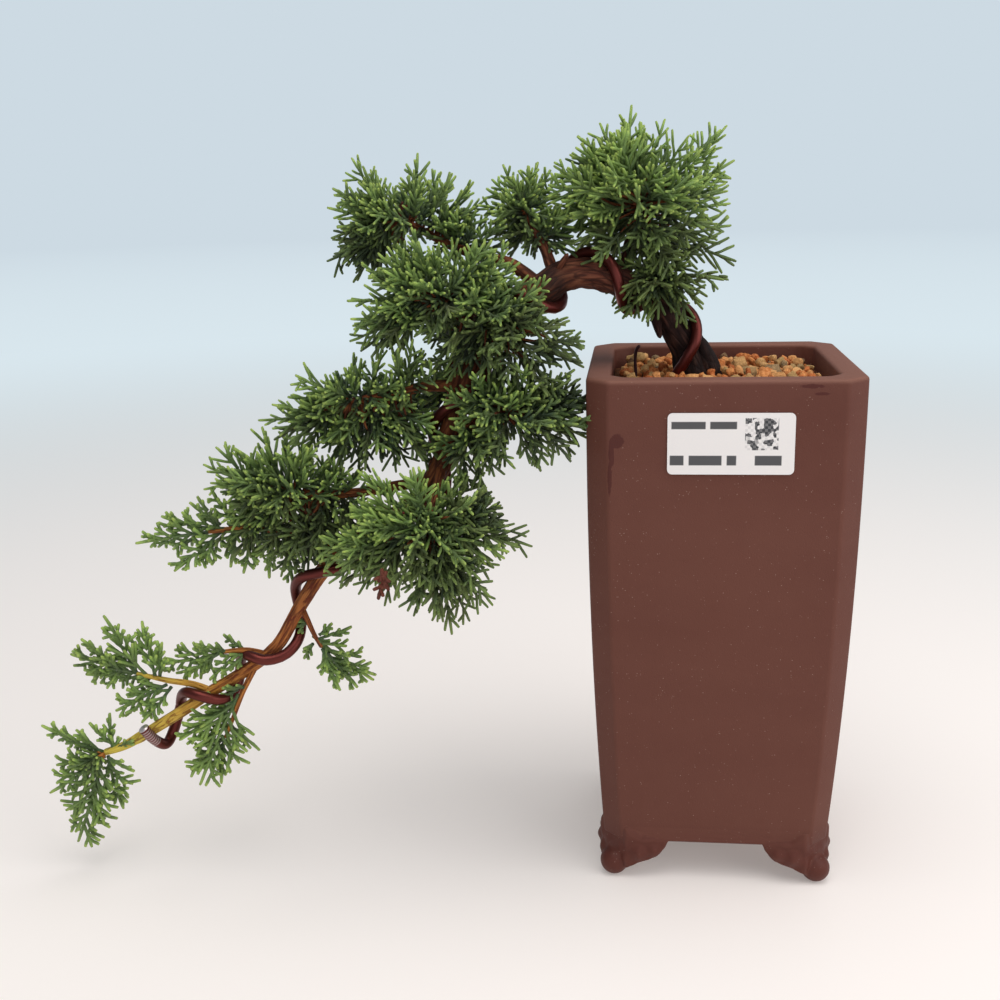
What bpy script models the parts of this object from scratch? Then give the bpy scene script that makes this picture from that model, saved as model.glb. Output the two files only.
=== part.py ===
"""Bonsai juniper in a tall cascade pot. Metres, +Z up."""
import math
import random

import bmesh
import bpy
from mathutils import Matrix, Vector, noise

MM = 0.001

# Pot
POT_WIDTH = 112 * MM            # across the rim
POT_HEIGHT = 226 * MM           # ground to rim
POT_BASE_WIDTH = 98 * MM        # across the body's underside
POT_WALL = 10 * MM
POT_FLOOR = 10 * MM
RIM_CHAMFER = 9 * MM            # leg of the cut corner at the rim
BASE_CHAMFER = 10 * MM          # leg of the cut corner at the underside
EDGE_RADIUS = 1.6 * MM
BELLY = 2.2                     # how early the wall swells to the rim's width
DRAIN_HOLE = 20 * MM
FOOT_HEIGHT = 18 * MM           # ground to the body's underside
FOOT_RISE = 6.5 * MM            # how far a foot climbs the wall
FOOT_LENGTH = 27 * MM           # along each side, from the corner
FOOT_TOE = 11 * MM              # part of that length that stands on the ground
FOOT_DEPTH = 9 * MM
FOOT_PROUD = 1.8 * MM
FOOT_WAIST = 2.2 * MM           # how far a foot draws in where it meets the ground
FOOT_SWELL = 0.9 * MM           # and swells above that
TOE_RADIUS = 1.6 * MM
CURL_RADIUS = 2 * MM            # the small curl where a foot meets the underside
CUT_OVER = 5 * MM               # how far a cutter passes what it cuts

# Label
LABEL_WIDTH = 50 * MM
LABEL_HEIGHT = 25 * MM
LABEL_THICKNESS = 0.3 * MM
LABEL_CORNER = 2 * MM
LABEL_BELOW_RIM = 25.4 * MM     # rim to the label's middle
LABEL_ASIDE = 1.8 * MM

# Filling
GAP = 0.3 * MM                  # between pieces that touch
SOIL_BELOW_RIM = 10 * MM
SOIL_HEAP = 3 * MM
DRAINAGE_DEPTH = 26 * MM
MESH_SIDE = 34 * MM
MESH_THICKNESS = 1.2 * MM
MESH_HOLES = 4
MESH_BAR = 1.6 * MM
CLIP_WIRE = 1.2 * MM
CLIP_SPAN = 12 * MM
CLIP_GRIP = 4 * MM              # how far its feet reach past the hole
CLIP_BEND = 1.6 * MM
GRANULES = 18
GRANULE_SIZE = 6 * MM
TRUNK_ROOM = 17 * MM            # kept clear of grains round the trunk's middle

# Tree
TREE_REACH = 303 * MM           # pot's middle to the furthest foliage
TAIL_CLEARANCE = 13 * MM        # ground to the lowest foliage
WOOD_THICKNESS = 1.0            # factor on every stem's radius
TRUNK_STEP = 6 * MM
BRANCH_STEP = 7 * MM
ROOT_CLEARANCE = 0.4 * MM
FOLIAGE_CLEARANCE = 0.5 * MM
FOLIAGE_FULLNESS = 1.0          # factor on every pad's size
WIRE_THICKNESS = 4 * MM
WIRE_STAND_OFF = 0.4 * MM
WIRE_SLACK = 1.4 * MM           # how much further off it stands at the tail
WIRE_ANCHOR = 14 * MM           # how deep its foot stands in the soil
WIRE_STEPS_PER_TURN = 14
TIE_WIRE = 1.4 * MM
TIE_WIRE_HEIGHT = 17 * MM

# Derived levels
SOIL_TOP = POT_HEIGHT - SOIL_BELOW_RIM
FLOOR_TOP = FOOT_HEIGHT + POT_FLOOR
LAYER_TOP = FLOOR_TOP + DRAINAGE_DEPTH

# The tree's points are drawn in millimetres from the pot's middle at soil level,
# for this reach, drop and half width of pot, and fitted to the sizes above.
DRAWN_REACH = 303 * MM
DRAWN_DROP = 203 * MM
DRAWN_HALF_POT = 56 * MM

# x, y, z and radius of the trunk, from under the soil to the tip of the tail
TRUNK = [
    (-6, 4, -30, 5.0), (-7, 4, -16, 8.5), (-9, 3, -2, 10.5), (-12, 2, 10, 8.6), (-15, 1, 22, 7.2),
    (-20, -2, 33, 6.6), (-29, -5, 39, 6.4), (-42, -8, 45, 6.2), (-56, -12, 50, 6.0), (-67, -15, 48, 6.6),
    (-75, -18, 43, 7.0), (-86, -20, 38, 6.2), (-95, -23, 30, 5.6), (-104, -25, 17, 5.3),
    (-110, -27, 3, 5.1), (-114, -30, -14, 4.9), (-118, -33, -28, 4.7), (-126, -36, -43, 4.4),
    (-139, -39, -57, 4.0), (-157, -43, -68, 3.6), (-170, -45, -74, 3.3), (-176, -46, -84, 3.0),
    (-181, -47, -97, 2.8), (-190, -49, -107, 2.7), (-204, -52, -118, 2.5), (-219, -54, -127, 2.3),
    (-242, -57, -141, 2.0), (-257, -59, -149, 1.7), (-270, -60, -156, 1.3),
]
# Branches: x, y, z and radius of each point; the first lies on the trunk's middle line
BRANCHES = {
    "apex": [(-29, -5, 39, 4.2), (-27, -2, 50, 3.6), (-31, 0, 62, 3.0), (-35, -2, 76, 2.0)],
    "apex_back": [(-42, -8, 45, 3.4), (-41, 2, 54, 2.8), (-38, 10, 66, 2.0)],
    "apex_small": [(-70, -16, 47, 3.6), (-74, -12, 58, 3.0), (-79, -9, 66, 2.2), (-83, -8, 74, 1.6)],
    "upper_left": [(-75, -18, 43, 4.4), (-87, -20, 53, 3.8), (-101, -18, 57, 3.2), (-117, -16, 63, 2.4),
                   (-133, -15, 72, 1.6)],
    "centre": [(-95, -23, 30, 3.8), (-104, -28, 36, 3.0), (-114, -31, 40, 2.0)],
    "back": [(-109, -26, 8, 3.8), (-110, -12, 12, 3.0), (-109, 4, 18, 2.0)],
    "mid_left": [(-110, -27, 3, 3.8), (-124, -31, 4, 3.2), (-140, -35, 1, 2.6), (-156, -38, -1, 1.8)],
    "right": [(-114, -30, -14, 3.6), (-104, -36, -10, 3.0), (-92, -39, -4, 2.0)],
    "lower_front": [(-118, -33, -28, 3.6), (-119, -46, -38, 3.0), (-121, -60, -50, 2.0)],
    "left": [(-122, -34, -36, 3.6), (-137, -37, -38, 3.2), (-160, -40, -41, 2.6), (-184, -42, -40, 1.8)],
    "left_spray": [(-157, -43, -68, 3.0), (-178, -43, -68, 2.6), (-200, -42, -66, 2.1), (-222, -42, -62, 1.5)],
    "tail_right": [(-181, -47, -97, 2.2), (-174, -47, -102, 1.8), (-168, -46, -109, 1.3)],
    "tail_upper": [(-219, -54, -127, 2.2), (-228, -55, -123, 1.9), (-243, -56, -119, 1.5), (-257, -56, -117, 1.2)],
    "tail_small": [(-204, -52, -118, 1.9), (-213, -51, -116, 1.6), (-222, -50, -115, 1.2)],
    "tail_lower": [(-199, -51, -114, 1.9), (-205, -53, -127, 1.7), (-213, -54, -140, 1.4), (-220, -54, -150, 1.1)],
}
# Roots, from inside the flare out and down into the soil
ROOTS = [
    [(-7, 4, -14, 6.5), (6, 2, -22, 5.0), (20, -2, -34, 3.2), (28, -6, -50, 1.8)],
    [(-7, 4, -14, 6.0), (-18, -4, -22, 4.6), (-28, -14, -34, 3.0), (-32, -20, -50, 1.8)],
    [(-7, 4, -14, 6.0), (-10, 16, -22, 4.6), (-16, 27, -36, 2.8), (-18, 32, -54, 1.6)],
    [(-7, 4, -14, 5.5), (2, -8, -26, 4.2), (8, -22, -38, 2.8), (10, -30, -54, 1.6)],
]
# Dead snags on the wood
SNAGS = {
    "under_snag": [(-20, -2, 33, 3.0), (-23, -5, 22, 2.2), (-21, -6, 15, 0.7)],
    "knuckle_snag": [(-71, -17, 46, 4.6), (-74, -26, 49, 3.6), (-75, -29, 50, 2.4)],
}
# Foliage pads: middle and half sizes
PADS = {
    "foliage_apex": ((-33, -2, 80), (37, 34, 36)),
    "foliage_upper_small": ((-86, -8, 76), (15, 20, 18)),
    "foliage_upper_left": ((-134, -14, 76), (32, 24, 20)),
    "foliage_centre": ((-116, -34, 34), (33, 20, 19)),
    "foliage_back": ((-108, 14, 24), (30, 20, 26)),
    "foliage_right": ((-88, -40, -4), (21, 22, 17)),
    "foliage_mid_left": ((-158, -36, 2), (29, 22, 18)),
    "foliage_left": ((-186, -42, -40), (29, 24, 21)),
    "foliage_left_spray": ((-232, -42, -62), (20, 10, 9)),
    "foliage_lower_front": ((-122, -66, -52), (36, 22, 30)),
    "foliage_tail_right": ((-163, -46, -114), (13, 8, 15)),
    "foliage_tail_upper": ((-266, -56, -113), (20, 9, 13)),
    "foliage_tail_small": ((-226, -49, -112), (11, 7, 5)),
    "foliage_tail_lower": ((-224, -54, -156), (11, 8, 14)),
    "foliage_tail_tip": ((-284, -61, -171), (18, 10, 21)),
}
SMALL_PAD = 20                  # a pad no longer than this is drawn more coarsely
PAD_LOBES = 0.14                # how far the lobes stand out, as a share of the pad's radius

# Distances along the trunk's line, in millimetres, at which the wire crosses its front
WIRE_CROSSINGS = [-57, 16, 64, 104, 160, 212, 260, 303, 338, 373]


def remove_everything():
    for obj in list(bpy.data.objects):
        bpy.data.objects.remove(obj, do_unlink=True)


def new_collection(name):
    collection = bpy.data.collections.new(name)
    bpy.context.scene.collection.children.link(collection)
    return collection


def new_material(name, colour, roughness, metallic=0.0):
    material = bpy.data.materials.new(name)
    material.use_nodes = True
    shader = material.node_tree.nodes["Principled BSDF"]
    shader.inputs["Base Color"].default_value = (*colour, 1.0)
    shader.inputs["Roughness"].default_value = roughness
    shader.inputs["Metallic"].default_value = metallic
    return material


remove_everything()
parts = new_collection("bonsai_in_pot")
cutters = new_collection("cutters")
root = bpy.data.objects.new("root", None)
parts.objects.link(root)

clay = new_material("clay", (0.135, 0.052, 0.038), 0.62)
paper = new_material("label_paper", (0.86, 0.86, 0.84), 0.45)
mesh_plastic = new_material("mesh_plastic", (0.03, 0.09, 0.05), 0.5)
clip_metal = new_material("clip_metal", (0.55, 0.56, 0.58), 0.4, 1.0)
pumice = new_material("pumice", (0.42, 0.33, 0.22), 0.95)
soil_earth = new_material("soil_earth", (0.24, 0.10, 0.045), 0.95)
grain = new_material("grain", (0.38, 0.15, 0.055), 0.9)
bark = new_material("bark", (0.12, 0.045, 0.025), 0.75)
maroon_wire = new_material("maroon_wire", (0.16, 0.03, 0.028), 0.3, 0.9)
dark_wire = new_material("dark_wire", (0.03, 0.022, 0.02), 0.5, 0.6)
leaf = new_material("leaf", (0.05, 0.11, 0.035), 0.6)


def add_part(name, mesh, material):
    """A sub-part of the object."""
    obj = bpy.data.objects.new(name, mesh)
    parts.objects.link(obj)
    obj.parent = root
    mesh.materials.clear()
    mesh.materials.append(material)
    return obj


def add_cutter(name, mesh):
    """A shape that only cuts, joins or guides."""
    obj = bpy.data.objects.new(name, mesh)
    cutters.objects.link(obj)
    obj.parent = root
    obj.hide_render = True
    obj.display_type = "WIRE"
    return obj


def boolean(obj, other, operation):
    modifier = obj.modifiers.new(operation.lower() + "_" + other.name, "BOOLEAN")
    modifier.operation = operation
    modifier.solver = "MANIFOLD"
    modifier.object = other


def mesh_from(bm, name, smooth_angle=None):
    """Turns a bmesh into a mesh whose faces point out."""
    bmesh.ops.recalc_face_normals(bm, faces=bm.faces)
    mesh = bpy.data.meshes.new(name)
    bm.to_mesh(mesh)
    bm.free()
    if smooth_angle is not None:
        mesh.shade_smooth()
        mesh.set_sharp_from_angle(angle=math.radians(smooth_angle))
    return mesh


def cut_corner_ring(half, chamfer, z, radius=EDGE_RADIUS, steps=2):
    """Points round a square with cut corners, whose eight edges are rounded."""
    reach = radius * math.tan(math.radians(22.5))
    flat = half - chamfer
    corners = []
    for quarter in range(4):
        turn = Matrix.Rotation(math.radians(90 * quarter), 3, "Z")
        corners.append(turn @ Vector((half, flat, 0)))
        corners.append(turn @ Vector((flat, half, 0)))
    points = []
    for index, corner in enumerate(corners):
        before = (corners[index - 1] - corner).normalized()
        after = (corners[(index + 1) % 8] - corner).normalized()
        start = corner + before * reach
        centre = corner + (before + after).normalized() * radius / math.cos(math.radians(22.5))
        arm = start - centre
        for step in range(steps + 1):
            swing = Matrix.Rotation(math.radians(45 * step / steps), 3, "Z")
            point = centre + swing @ arm
            points.append(Vector((point.x, point.y, z)))
    return points


def loft(rings, name, smooth_angle=30):
    """A closed skin through rings of equal count, bridged one to the next."""
    bm = bmesh.new()
    loops = []
    for ring in rings:
        verts = [bm.verts.new(point) for point in ring]
        loops.append([bm.edges.new((verts[i - 1], verts[i])) for i in range(len(verts))])
        if ring is rings[0] or ring is rings[-1]:
            bm.faces.new(verts)
    for below, above in zip(loops, loops[1:]):
        bmesh.ops.bridge_loops(bm, edges=below + above)
    return mesh_from(bm, name, smooth_angle)


def body_half(z):
    """Half the pot's outside width at a height."""
    share = min(max((z - FOOT_HEIGHT) / (POT_HEIGHT - FOOT_HEIGHT), 0.0), 1.0)
    swell = 1.0 - (1.0 - share) ** BELLY
    return (POT_BASE_WIDTH + (POT_WIDTH - POT_BASE_WIDTH) * swell) / 2


def body_chamfer(z):
    share = min(max((z - FOOT_HEIGHT) / (POT_HEIGHT - FOOT_HEIGHT), 0.0), 1.0)
    return BASE_CHAMFER + (RIM_CHAMFER - BASE_CHAMFER) * share


def inner_chamfer(z):
    """The cut corner's leg inside, a little longer than an even wall's, so that clay fills the corner."""
    return body_chamfer(z) - POT_WALL * (2 - math.sqrt(2)) + 2 * EDGE_RADIUS


def filling_ring(z, inset=GAP):
    """The cavity's outline at a height, drawn in by a gap."""
    return cut_corner_ring(body_half(z) - POT_WALL - inset, inner_chamfer(z), z)


def heights(low, high, count):
    return [low + (high - low) * i / (count - 1) for i in range(count)]


def outline_mesh(points, thickness, name):
    """A flat closed outline in XZ, given thickness along Y about the origin."""
    curve = bpy.data.curves.new(name, "CURVE")
    curve.dimensions = "2D"
    curve.fill_mode = "BOTH"
    curve.extrude = thickness / 2
    spline = curve.splines.new("POLY")
    spline.points.add(len(points) - 1)
    for spot, (x, z) in zip(spline.points, points):
        spot.co = (x, z, 0, 1)
    spline.use_cyclic_u = True
    return curve_mesh(curve, name, Matrix.Rotation(math.radians(90), 4, "X"))


def curve_mesh(curve, name, place=Matrix.Identity(4)):
    """A curve made a mesh with its caps welded."""
    guide = bpy.data.objects.new(name + "_guide", curve)
    cutters.objects.link(guide)
    guide.matrix_world = place
    bpy.context.view_layer.update()
    evaluated = guide.evaluated_get(bpy.context.evaluated_depsgraph_get())
    mesh = bpy.data.meshes.new_from_object(evaluated)
    mesh.transform(guide.matrix_world)
    bpy.data.objects.remove(guide)
    bm = bmesh.new()
    bm.from_mesh(mesh)
    bmesh.ops.remove_doubles(bm, verts=bm.verts, dist=0.00001)
    bpy.data.meshes.remove(mesh)
    return mesh_from(bm, name, 40)


def tube_mesh(name, stations, resolution=2):
    """A round tube through (point, radius) stations."""
    curve = bpy.data.curves.new(name, "CURVE")
    curve.dimensions = "3D"
    curve.bevel_depth = 1.0
    curve.bevel_resolution = resolution
    curve.use_fill_caps = True
    spline = curve.splines.new("POLY")
    spline.points.add(len(stations) - 1)
    for spot, (point, radius) in zip(spline.points, stations):
        spot.co = (*point, 1)
        spot.radius = radius
    return curve_mesh(curve, name)


def arc(centre, radius, start, end, steps):
    """Points on an arc in a plane, from one angle to another in degrees."""
    angles = [math.radians(start + (end - start) * i / steps) for i in range(steps + 1)]
    return [(centre[0] + radius * math.cos(a), centre[1] + radius * math.sin(a)) for a in angles]


# Pot: body with feet, hollowed, with a drain hole

def foot_gap_outline():
    """What is open between two feet, seen from the side: a low arch with curled ends."""
    inner = body_half(FOOT_HEIGHT) - FOOT_LENGTH
    toe = body_half(FOOT_HEIGHT) - FOOT_TOE
    top = FOOT_HEIGHT + FOOT_RISE + CUT_OVER
    lobe = (toe - inner) / 2
    side = [(toe, -CUT_OVER), (toe, 0.3 * TOE_RADIUS)]
    side += arc((toe - 0.94 * TOE_RADIUS, 1.9 * TOE_RADIUS), TOE_RADIUS, -60, 60, 3)
    side += arc((inner + 1.125 * lobe, FOOT_HEIGHT - 0.75 * lobe), lobe, -75, -165, 5)
    side += arc((inner - CURL_RADIUS / 4, FOOT_HEIGHT + CURL_RADIUS / 2), CURL_RADIUS, -90, 0, 3)
    side += [(inner + 1.5 * CURL_RADIUS, FOOT_HEIGHT + FOOT_RISE * 0.6)]
    side += arc((inner + lobe, FOOT_HEIGHT + FOOT_RISE * 0.35), FOOT_RISE * 0.6, 150, 40, 4)
    side += [(toe + lobe / 4, FOOT_HEIGHT + FOOT_RISE * 0.7), (toe + lobe / 2, top)]
    return side + [(-x, z) for x, z in reversed(side)]


def build_pot():
    top = POT_HEIGHT
    rings = [cut_corner_ring(body_half(FOOT_HEIGHT) - EDGE_RADIUS, BASE_CHAMFER, FOOT_HEIGHT)]
    for z in heights(FOOT_HEIGHT + EDGE_RADIUS, top - EDGE_RADIUS, 10):
        rings.append(cut_corner_ring(body_half(z), body_chamfer(z), z))
    for degrees in (30, 60, 90):
        fall = EDGE_RADIUS * (1 - math.cos(math.radians(degrees)))
        z = top - EDGE_RADIUS * (1 - math.sin(math.radians(degrees)))
        rings.append(cut_corner_ring(POT_WIDTH / 2 - fall, RIM_CHAMFER, z))
    pot = add_part("pot", loft(rings, "pot"), clay)

    foot_top = FOOT_HEIGHT + FOOT_RISE
    outside = [                 # height, and how far it stands out from FOOT_PROUD
        (0.0, -FOOT_WAIST), (FOOT_HEIGHT / 22, -0.2 * FOOT_WAIST), (FOOT_HEIGHT / 6, 0.9 * FOOT_SWELL),
        (FOOT_HEIGHT / 2.25, FOOT_SWELL), (FOOT_HEIGHT / 1.5, 0.2 * FOOT_SWELL), (FOOT_HEIGHT, 0.0),
        (foot_top - 0.9 * EDGE_RADIUS, 0.0), (foot_top - EDGE_RADIUS / 4, -EDGE_RADIUS / 3),
        (foot_top, -FOOT_PROUD - 0.6 * EDGE_RADIUS),
    ]
    skirt = []
    for z, swell in outside:
        skirt.append(cut_corner_ring(body_half(z) + FOOT_PROUD + swell, BASE_CHAMFER, z))
    feet = add_cutter("feet", loft(skirt, "feet"))
    core_half = body_half(0) - FOOT_DEPTH
    core_top = FOOT_HEIGHT + 0.8 * EDGE_RADIUS      # into the body, so that the feet join it
    core = [cut_corner_ring(core_half, BASE_CHAMFER, z) for z in (-CUT_OVER, core_top)]
    boolean(feet, add_cutter("between_feet", loft(core, "between_feet")), "DIFFERENCE")
    for name, degrees in (("arch_front", 0), ("arch_side", 90)):
        mesh = outline_mesh(foot_gap_outline(), 2 * POT_WIDTH, name)
        mesh.transform(Matrix.Rotation(math.radians(degrees), 4, "Z"))
        boolean(feet, add_cutter(name, mesh), "DIFFERENCE")
    boolean(pot, feet, "UNION")

    hollow = [filling_ring(z, 0.0) for z in heights(FLOOR_TOP, top - EDGE_RADIUS, 7)]
    for degrees in (45, 90):
        flare = EDGE_RADIUS * (1 - math.cos(math.radians(degrees)))
        z = top - EDGE_RADIUS * (1 - math.sin(math.radians(degrees)))
        hollow.append(cut_corner_ring(body_half(top) - POT_WALL + flare, inner_chamfer(top), z))
    last = body_half(top) - POT_WALL + EDGE_RADIUS
    hollow.append(cut_corner_ring(last, inner_chamfer(top), top + CUT_OVER))
    boolean(pot, add_cutter("hollow", loft(hollow, "hollow")), "DIFFERENCE")
    drain = drum("drain", DRAIN_HOLE / 2, FOOT_HEIGHT - CUT_OVER, FLOOR_TOP + CUT_OVER)
    boolean(pot, add_cutter("drain", drain), "DIFFERENCE")


def drum(name, radius, low, high, sides=32):
    bm = bmesh.new()
    bmesh.ops.create_cone(bm, cap_ends=True, segments=sides, radius1=radius, radius2=radius, depth=high - low)
    bmesh.ops.translate(bm, verts=bm.verts, vec=(0, 0, (low + high) / 2))
    return mesh_from(bm, name, 40)


def build_label():
    half_w = LABEL_WIDTH / 2 - LABEL_CORNER
    half_h = LABEL_HEIGHT / 2 - LABEL_CORNER
    points = []
    for cx, cz, start in ((half_w, half_h, 0), (-half_w, half_h, 90), (-half_w, -half_h, 180), (half_w, -half_h, 270)):
        points += arc((cx, cz), LABEL_CORNER, start, start + 90, 5)
    label = add_part("label", outline_mesh(points, LABEL_THICKNESS, "label"), paper)
    face = -POT_WIDTH / 2 - GAP - LABEL_THICKNESS / 2
    label.location = (LABEL_ASIDE, face, POT_HEIGHT - LABEL_BELOW_RIM)


# Filling: mesh, clip, drainage layer, soil

def build_drainage_mesh():
    """A square net of bars."""
    hole = (MESH_SIDE - MESH_BAR) / MESH_HOLES - MESH_BAR
    lines = [-MESH_SIDE / 2]
    for _ in range(MESH_HOLES):
        lines.append(lines[-1] + MESH_BAR)
        lines.append(lines[-1] + hole)
    lines.append(lines[-1] + MESH_BAR)
    bm = bmesh.new()
    cells = 2 * MESH_HOLES + 1
    bmesh.ops.create_grid(bm, x_segments=cells, y_segments=cells, size=cells / 2)
    openings = []
    for face in bm.faces:
        middle = face.calc_center_median()
        column = int(middle.x + cells / 2)
        row = int(middle.y + cells / 2)
        if column % 2 == 1 and row % 2 == 1:
            openings.append(face)
    bmesh.ops.delete(bm, geom=openings, context="FACES")
    for vert in bm.verts:
        column = round(vert.co.x + cells / 2)
        row = round(vert.co.y + cells / 2)
        vert.co = (lines[column], lines[row], 0)
    net = add_part("drainage_mesh", mesh_from(bm, "drainage_mesh"), mesh_plastic)
    net.location.z = FLOOR_TOP + GAP + MESH_THICKNESS / 2
    wall = net.modifiers.new("thickness", "SOLIDIFY")
    wall.thickness = MESH_THICKNESS
    wall.offset = 0


def clip_levels():
    """Heights of the clip's bar above the mesh and of its feet under the floor."""
    bar = FLOOR_TOP + GAP + MESH_THICKNESS + GAP + CLIP_WIRE / 2
    feet = FOOT_HEIGHT - GAP - CLIP_WIRE / 2
    return bar, feet


def build_clip():
    """A staple: a bar on the mesh, legs through it and the hole, feet turned out below."""
    bar, feet = clip_levels()
    pitch = (MESH_SIDE - MESH_BAR) / MESH_HOLES
    row = pitch / 2 if MESH_HOLES % 2 == 0 else 0.0
    leg = row + round((CLIP_SPAN / 2 - row) / pitch) * pitch
    side = [(DRAIN_HOLE / 2 + CLIP_GRIP, feet)]
    side += arc((leg + CLIP_BEND, feet + CLIP_BEND), CLIP_BEND, 270, 180, 3)
    side += arc((leg - CLIP_BEND, bar - CLIP_BEND), CLIP_BEND, 0, 90, 3)
    outline = side + [(-x, z) for x, z in reversed(side)]
    stations = [(Vector((x, row, z)), CLIP_WIRE / 2) for x, z in outline]
    add_part("mesh_clip", tube_mesh("mesh_clip", stations, 1), clip_metal)


def build_drainage_layer():
    rings = [filling_ring(z) for z in heights(FLOOR_TOP + GAP, LAYER_TOP, 4)]
    layer = add_part("drainage_layer", loft(rings, "drainage_layer"), pumice)
    bar, _ = clip_levels()
    bm = bmesh.new()
    bmesh.ops.create_cube(bm, size=1.0)
    side = MESH_SIDE + 2 * GAP
    low = FLOOR_TOP - 5 * MM
    high = bar + CLIP_WIRE / 2 + GAP
    bmesh.ops.scale(bm, vec=(side, side, high - low), verts=bm.verts)
    bmesh.ops.translate(bm, vec=(0, 0, (low + high) / 2), verts=bm.verts)
    boolean(layer, add_cutter("mesh_room", mesh_from(bm, "mesh_room")), "DIFFERENCE")


def soil_height(x, y):
    """The soil's surface: a low heap, higher towards the back and round the trunk."""
    room = POT_WIDTH / 2 - POT_WALL
    edge = max(abs(x), abs(y)) / room
    back = 0.5 + 0.5 * y / room
    return SOIL_TOP + SOIL_HEAP * (1 - min(edge, 1.0) ** 2) * (0.5 + 0.5 * back)


def build_soil():
    rings = [filling_ring(z) for z in heights(LAYER_TOP + GAP, SOIL_TOP, 7)]
    room = body_half(SOIL_TOP) - POT_WALL - GAP
    for share in (0.82, 0.6, 0.38, 0.16):
        ring = []
        for point in cut_corner_ring(room * share, inner_chamfer(SOIL_TOP) * share, 0, EDGE_RADIUS * share):
            ring.append(Vector((point.x, point.y, soil_height(point.x, point.y))))
        rings.append(ring)
    soil = add_part("soil", loft(rings, "soil", 60), soil_earth)
    boolean(soil, wood_clearance, "DIFFERENCE")
    boolean(soil, wire_clearance, "DIFFERENCE")
    boolean(soil, tie_clearance, "DIFFERENCE")


# Tree

def place(x, y, z):
    """A drawn point, in millimetres, in the pot's frame."""
    half = POT_WIDTH / 2
    drop = SOIL_TOP - TAIL_CLEARANCE
    x, y, z = x * MM, y * MM, z * MM
    if x > -DRAWN_HALF_POT:
        x *= half / DRAWN_HALF_POT
    else:
        x = -half + (x + DRAWN_HALF_POT) * (TREE_REACH - half) / (DRAWN_REACH - DRAWN_HALF_POT)
    if z < 0 and x < -half:
        z *= drop / DRAWN_DROP
    return Vector((x, y, SOIL_TOP + z))


def drawn_stations(drawn, step):
    """Points and radii along a smooth curve through drawn points, still as drawn."""
    knots = [Vector(point[:3]) for point in drawn]
    radii = [point[3] for point in drawn]
    stations = []
    for i in range(len(knots) - 1):
        before, start, end, after = knots[max(i - 1, 0)], knots[i], knots[i + 1], knots[min(i + 2, len(knots) - 1)]
        count = max(1, round((end - start).length * MM / step))
        for k in range(count):
            t = k / count
            curve = 2 * start + (end - before) * t
            curve += (2 * before - 5 * start + 4 * end - after) * t ** 2
            curve += (3 * start - before - 3 * end + after) * t ** 3
            stations.append((curve / 2, radii[i] + (radii[i + 1] - radii[i]) * t))
    stations.append((knots[-1], radii[-1]))
    return stations


def smooth_stations(drawn, step):
    """Stations along a smooth curve through drawn points, fitted to the pot and the reach."""
    return [(place(*point), radius * MM * WOOD_THICKNESS) for point, radius in drawn_stations(drawn, step)]


def swollen(stations, extra):
    """The same stations, thicker and a little longer at both ends."""
    thick = [(point, radius + extra) for point, radius in stations]
    first = (thick[0][0] - thick[1][0]).normalized() * extra
    last = (thick[-1][0] - thick[-2][0]).normalized() * extra
    thick[0] = (thick[0][0] + first, thick[0][1])
    thick[-1] = (thick[-1][0] + last, thick[-1][1])
    return thick


def grow_wood(name, extra):
    """Trunk, branches, roots and snags joined in one, thickened by an extra."""
    stems = {"trunk": smooth_stations(TRUNK, TRUNK_STEP)}
    for branch, drawn in BRANCHES.items():
        stems[branch] = smooth_stations(drawn, BRANCH_STEP)
    for index, drawn in enumerate(ROOTS):
        stems["root_%d" % index] = smooth_stations(drawn, BRANCH_STEP)
    for snag, drawn in SNAGS.items():
        stems[snag] = smooth_stations(drawn, BRANCH_STEP)
    meshes = {}
    for stem, stations in stems.items():
        if extra:
            stations = swollen(stations, extra)
        meshes[stem] = tube_mesh(name + "_" + stem, stations)
    trunk = meshes.pop("trunk")
    joined = add_cutter(name, trunk) if extra else add_part(name, trunk, bark)
    for stem, mesh in meshes.items():
        boolean(joined, add_cutter(name + "_" + stem + "_stem", mesh), "UNION")
    return joined


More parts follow.
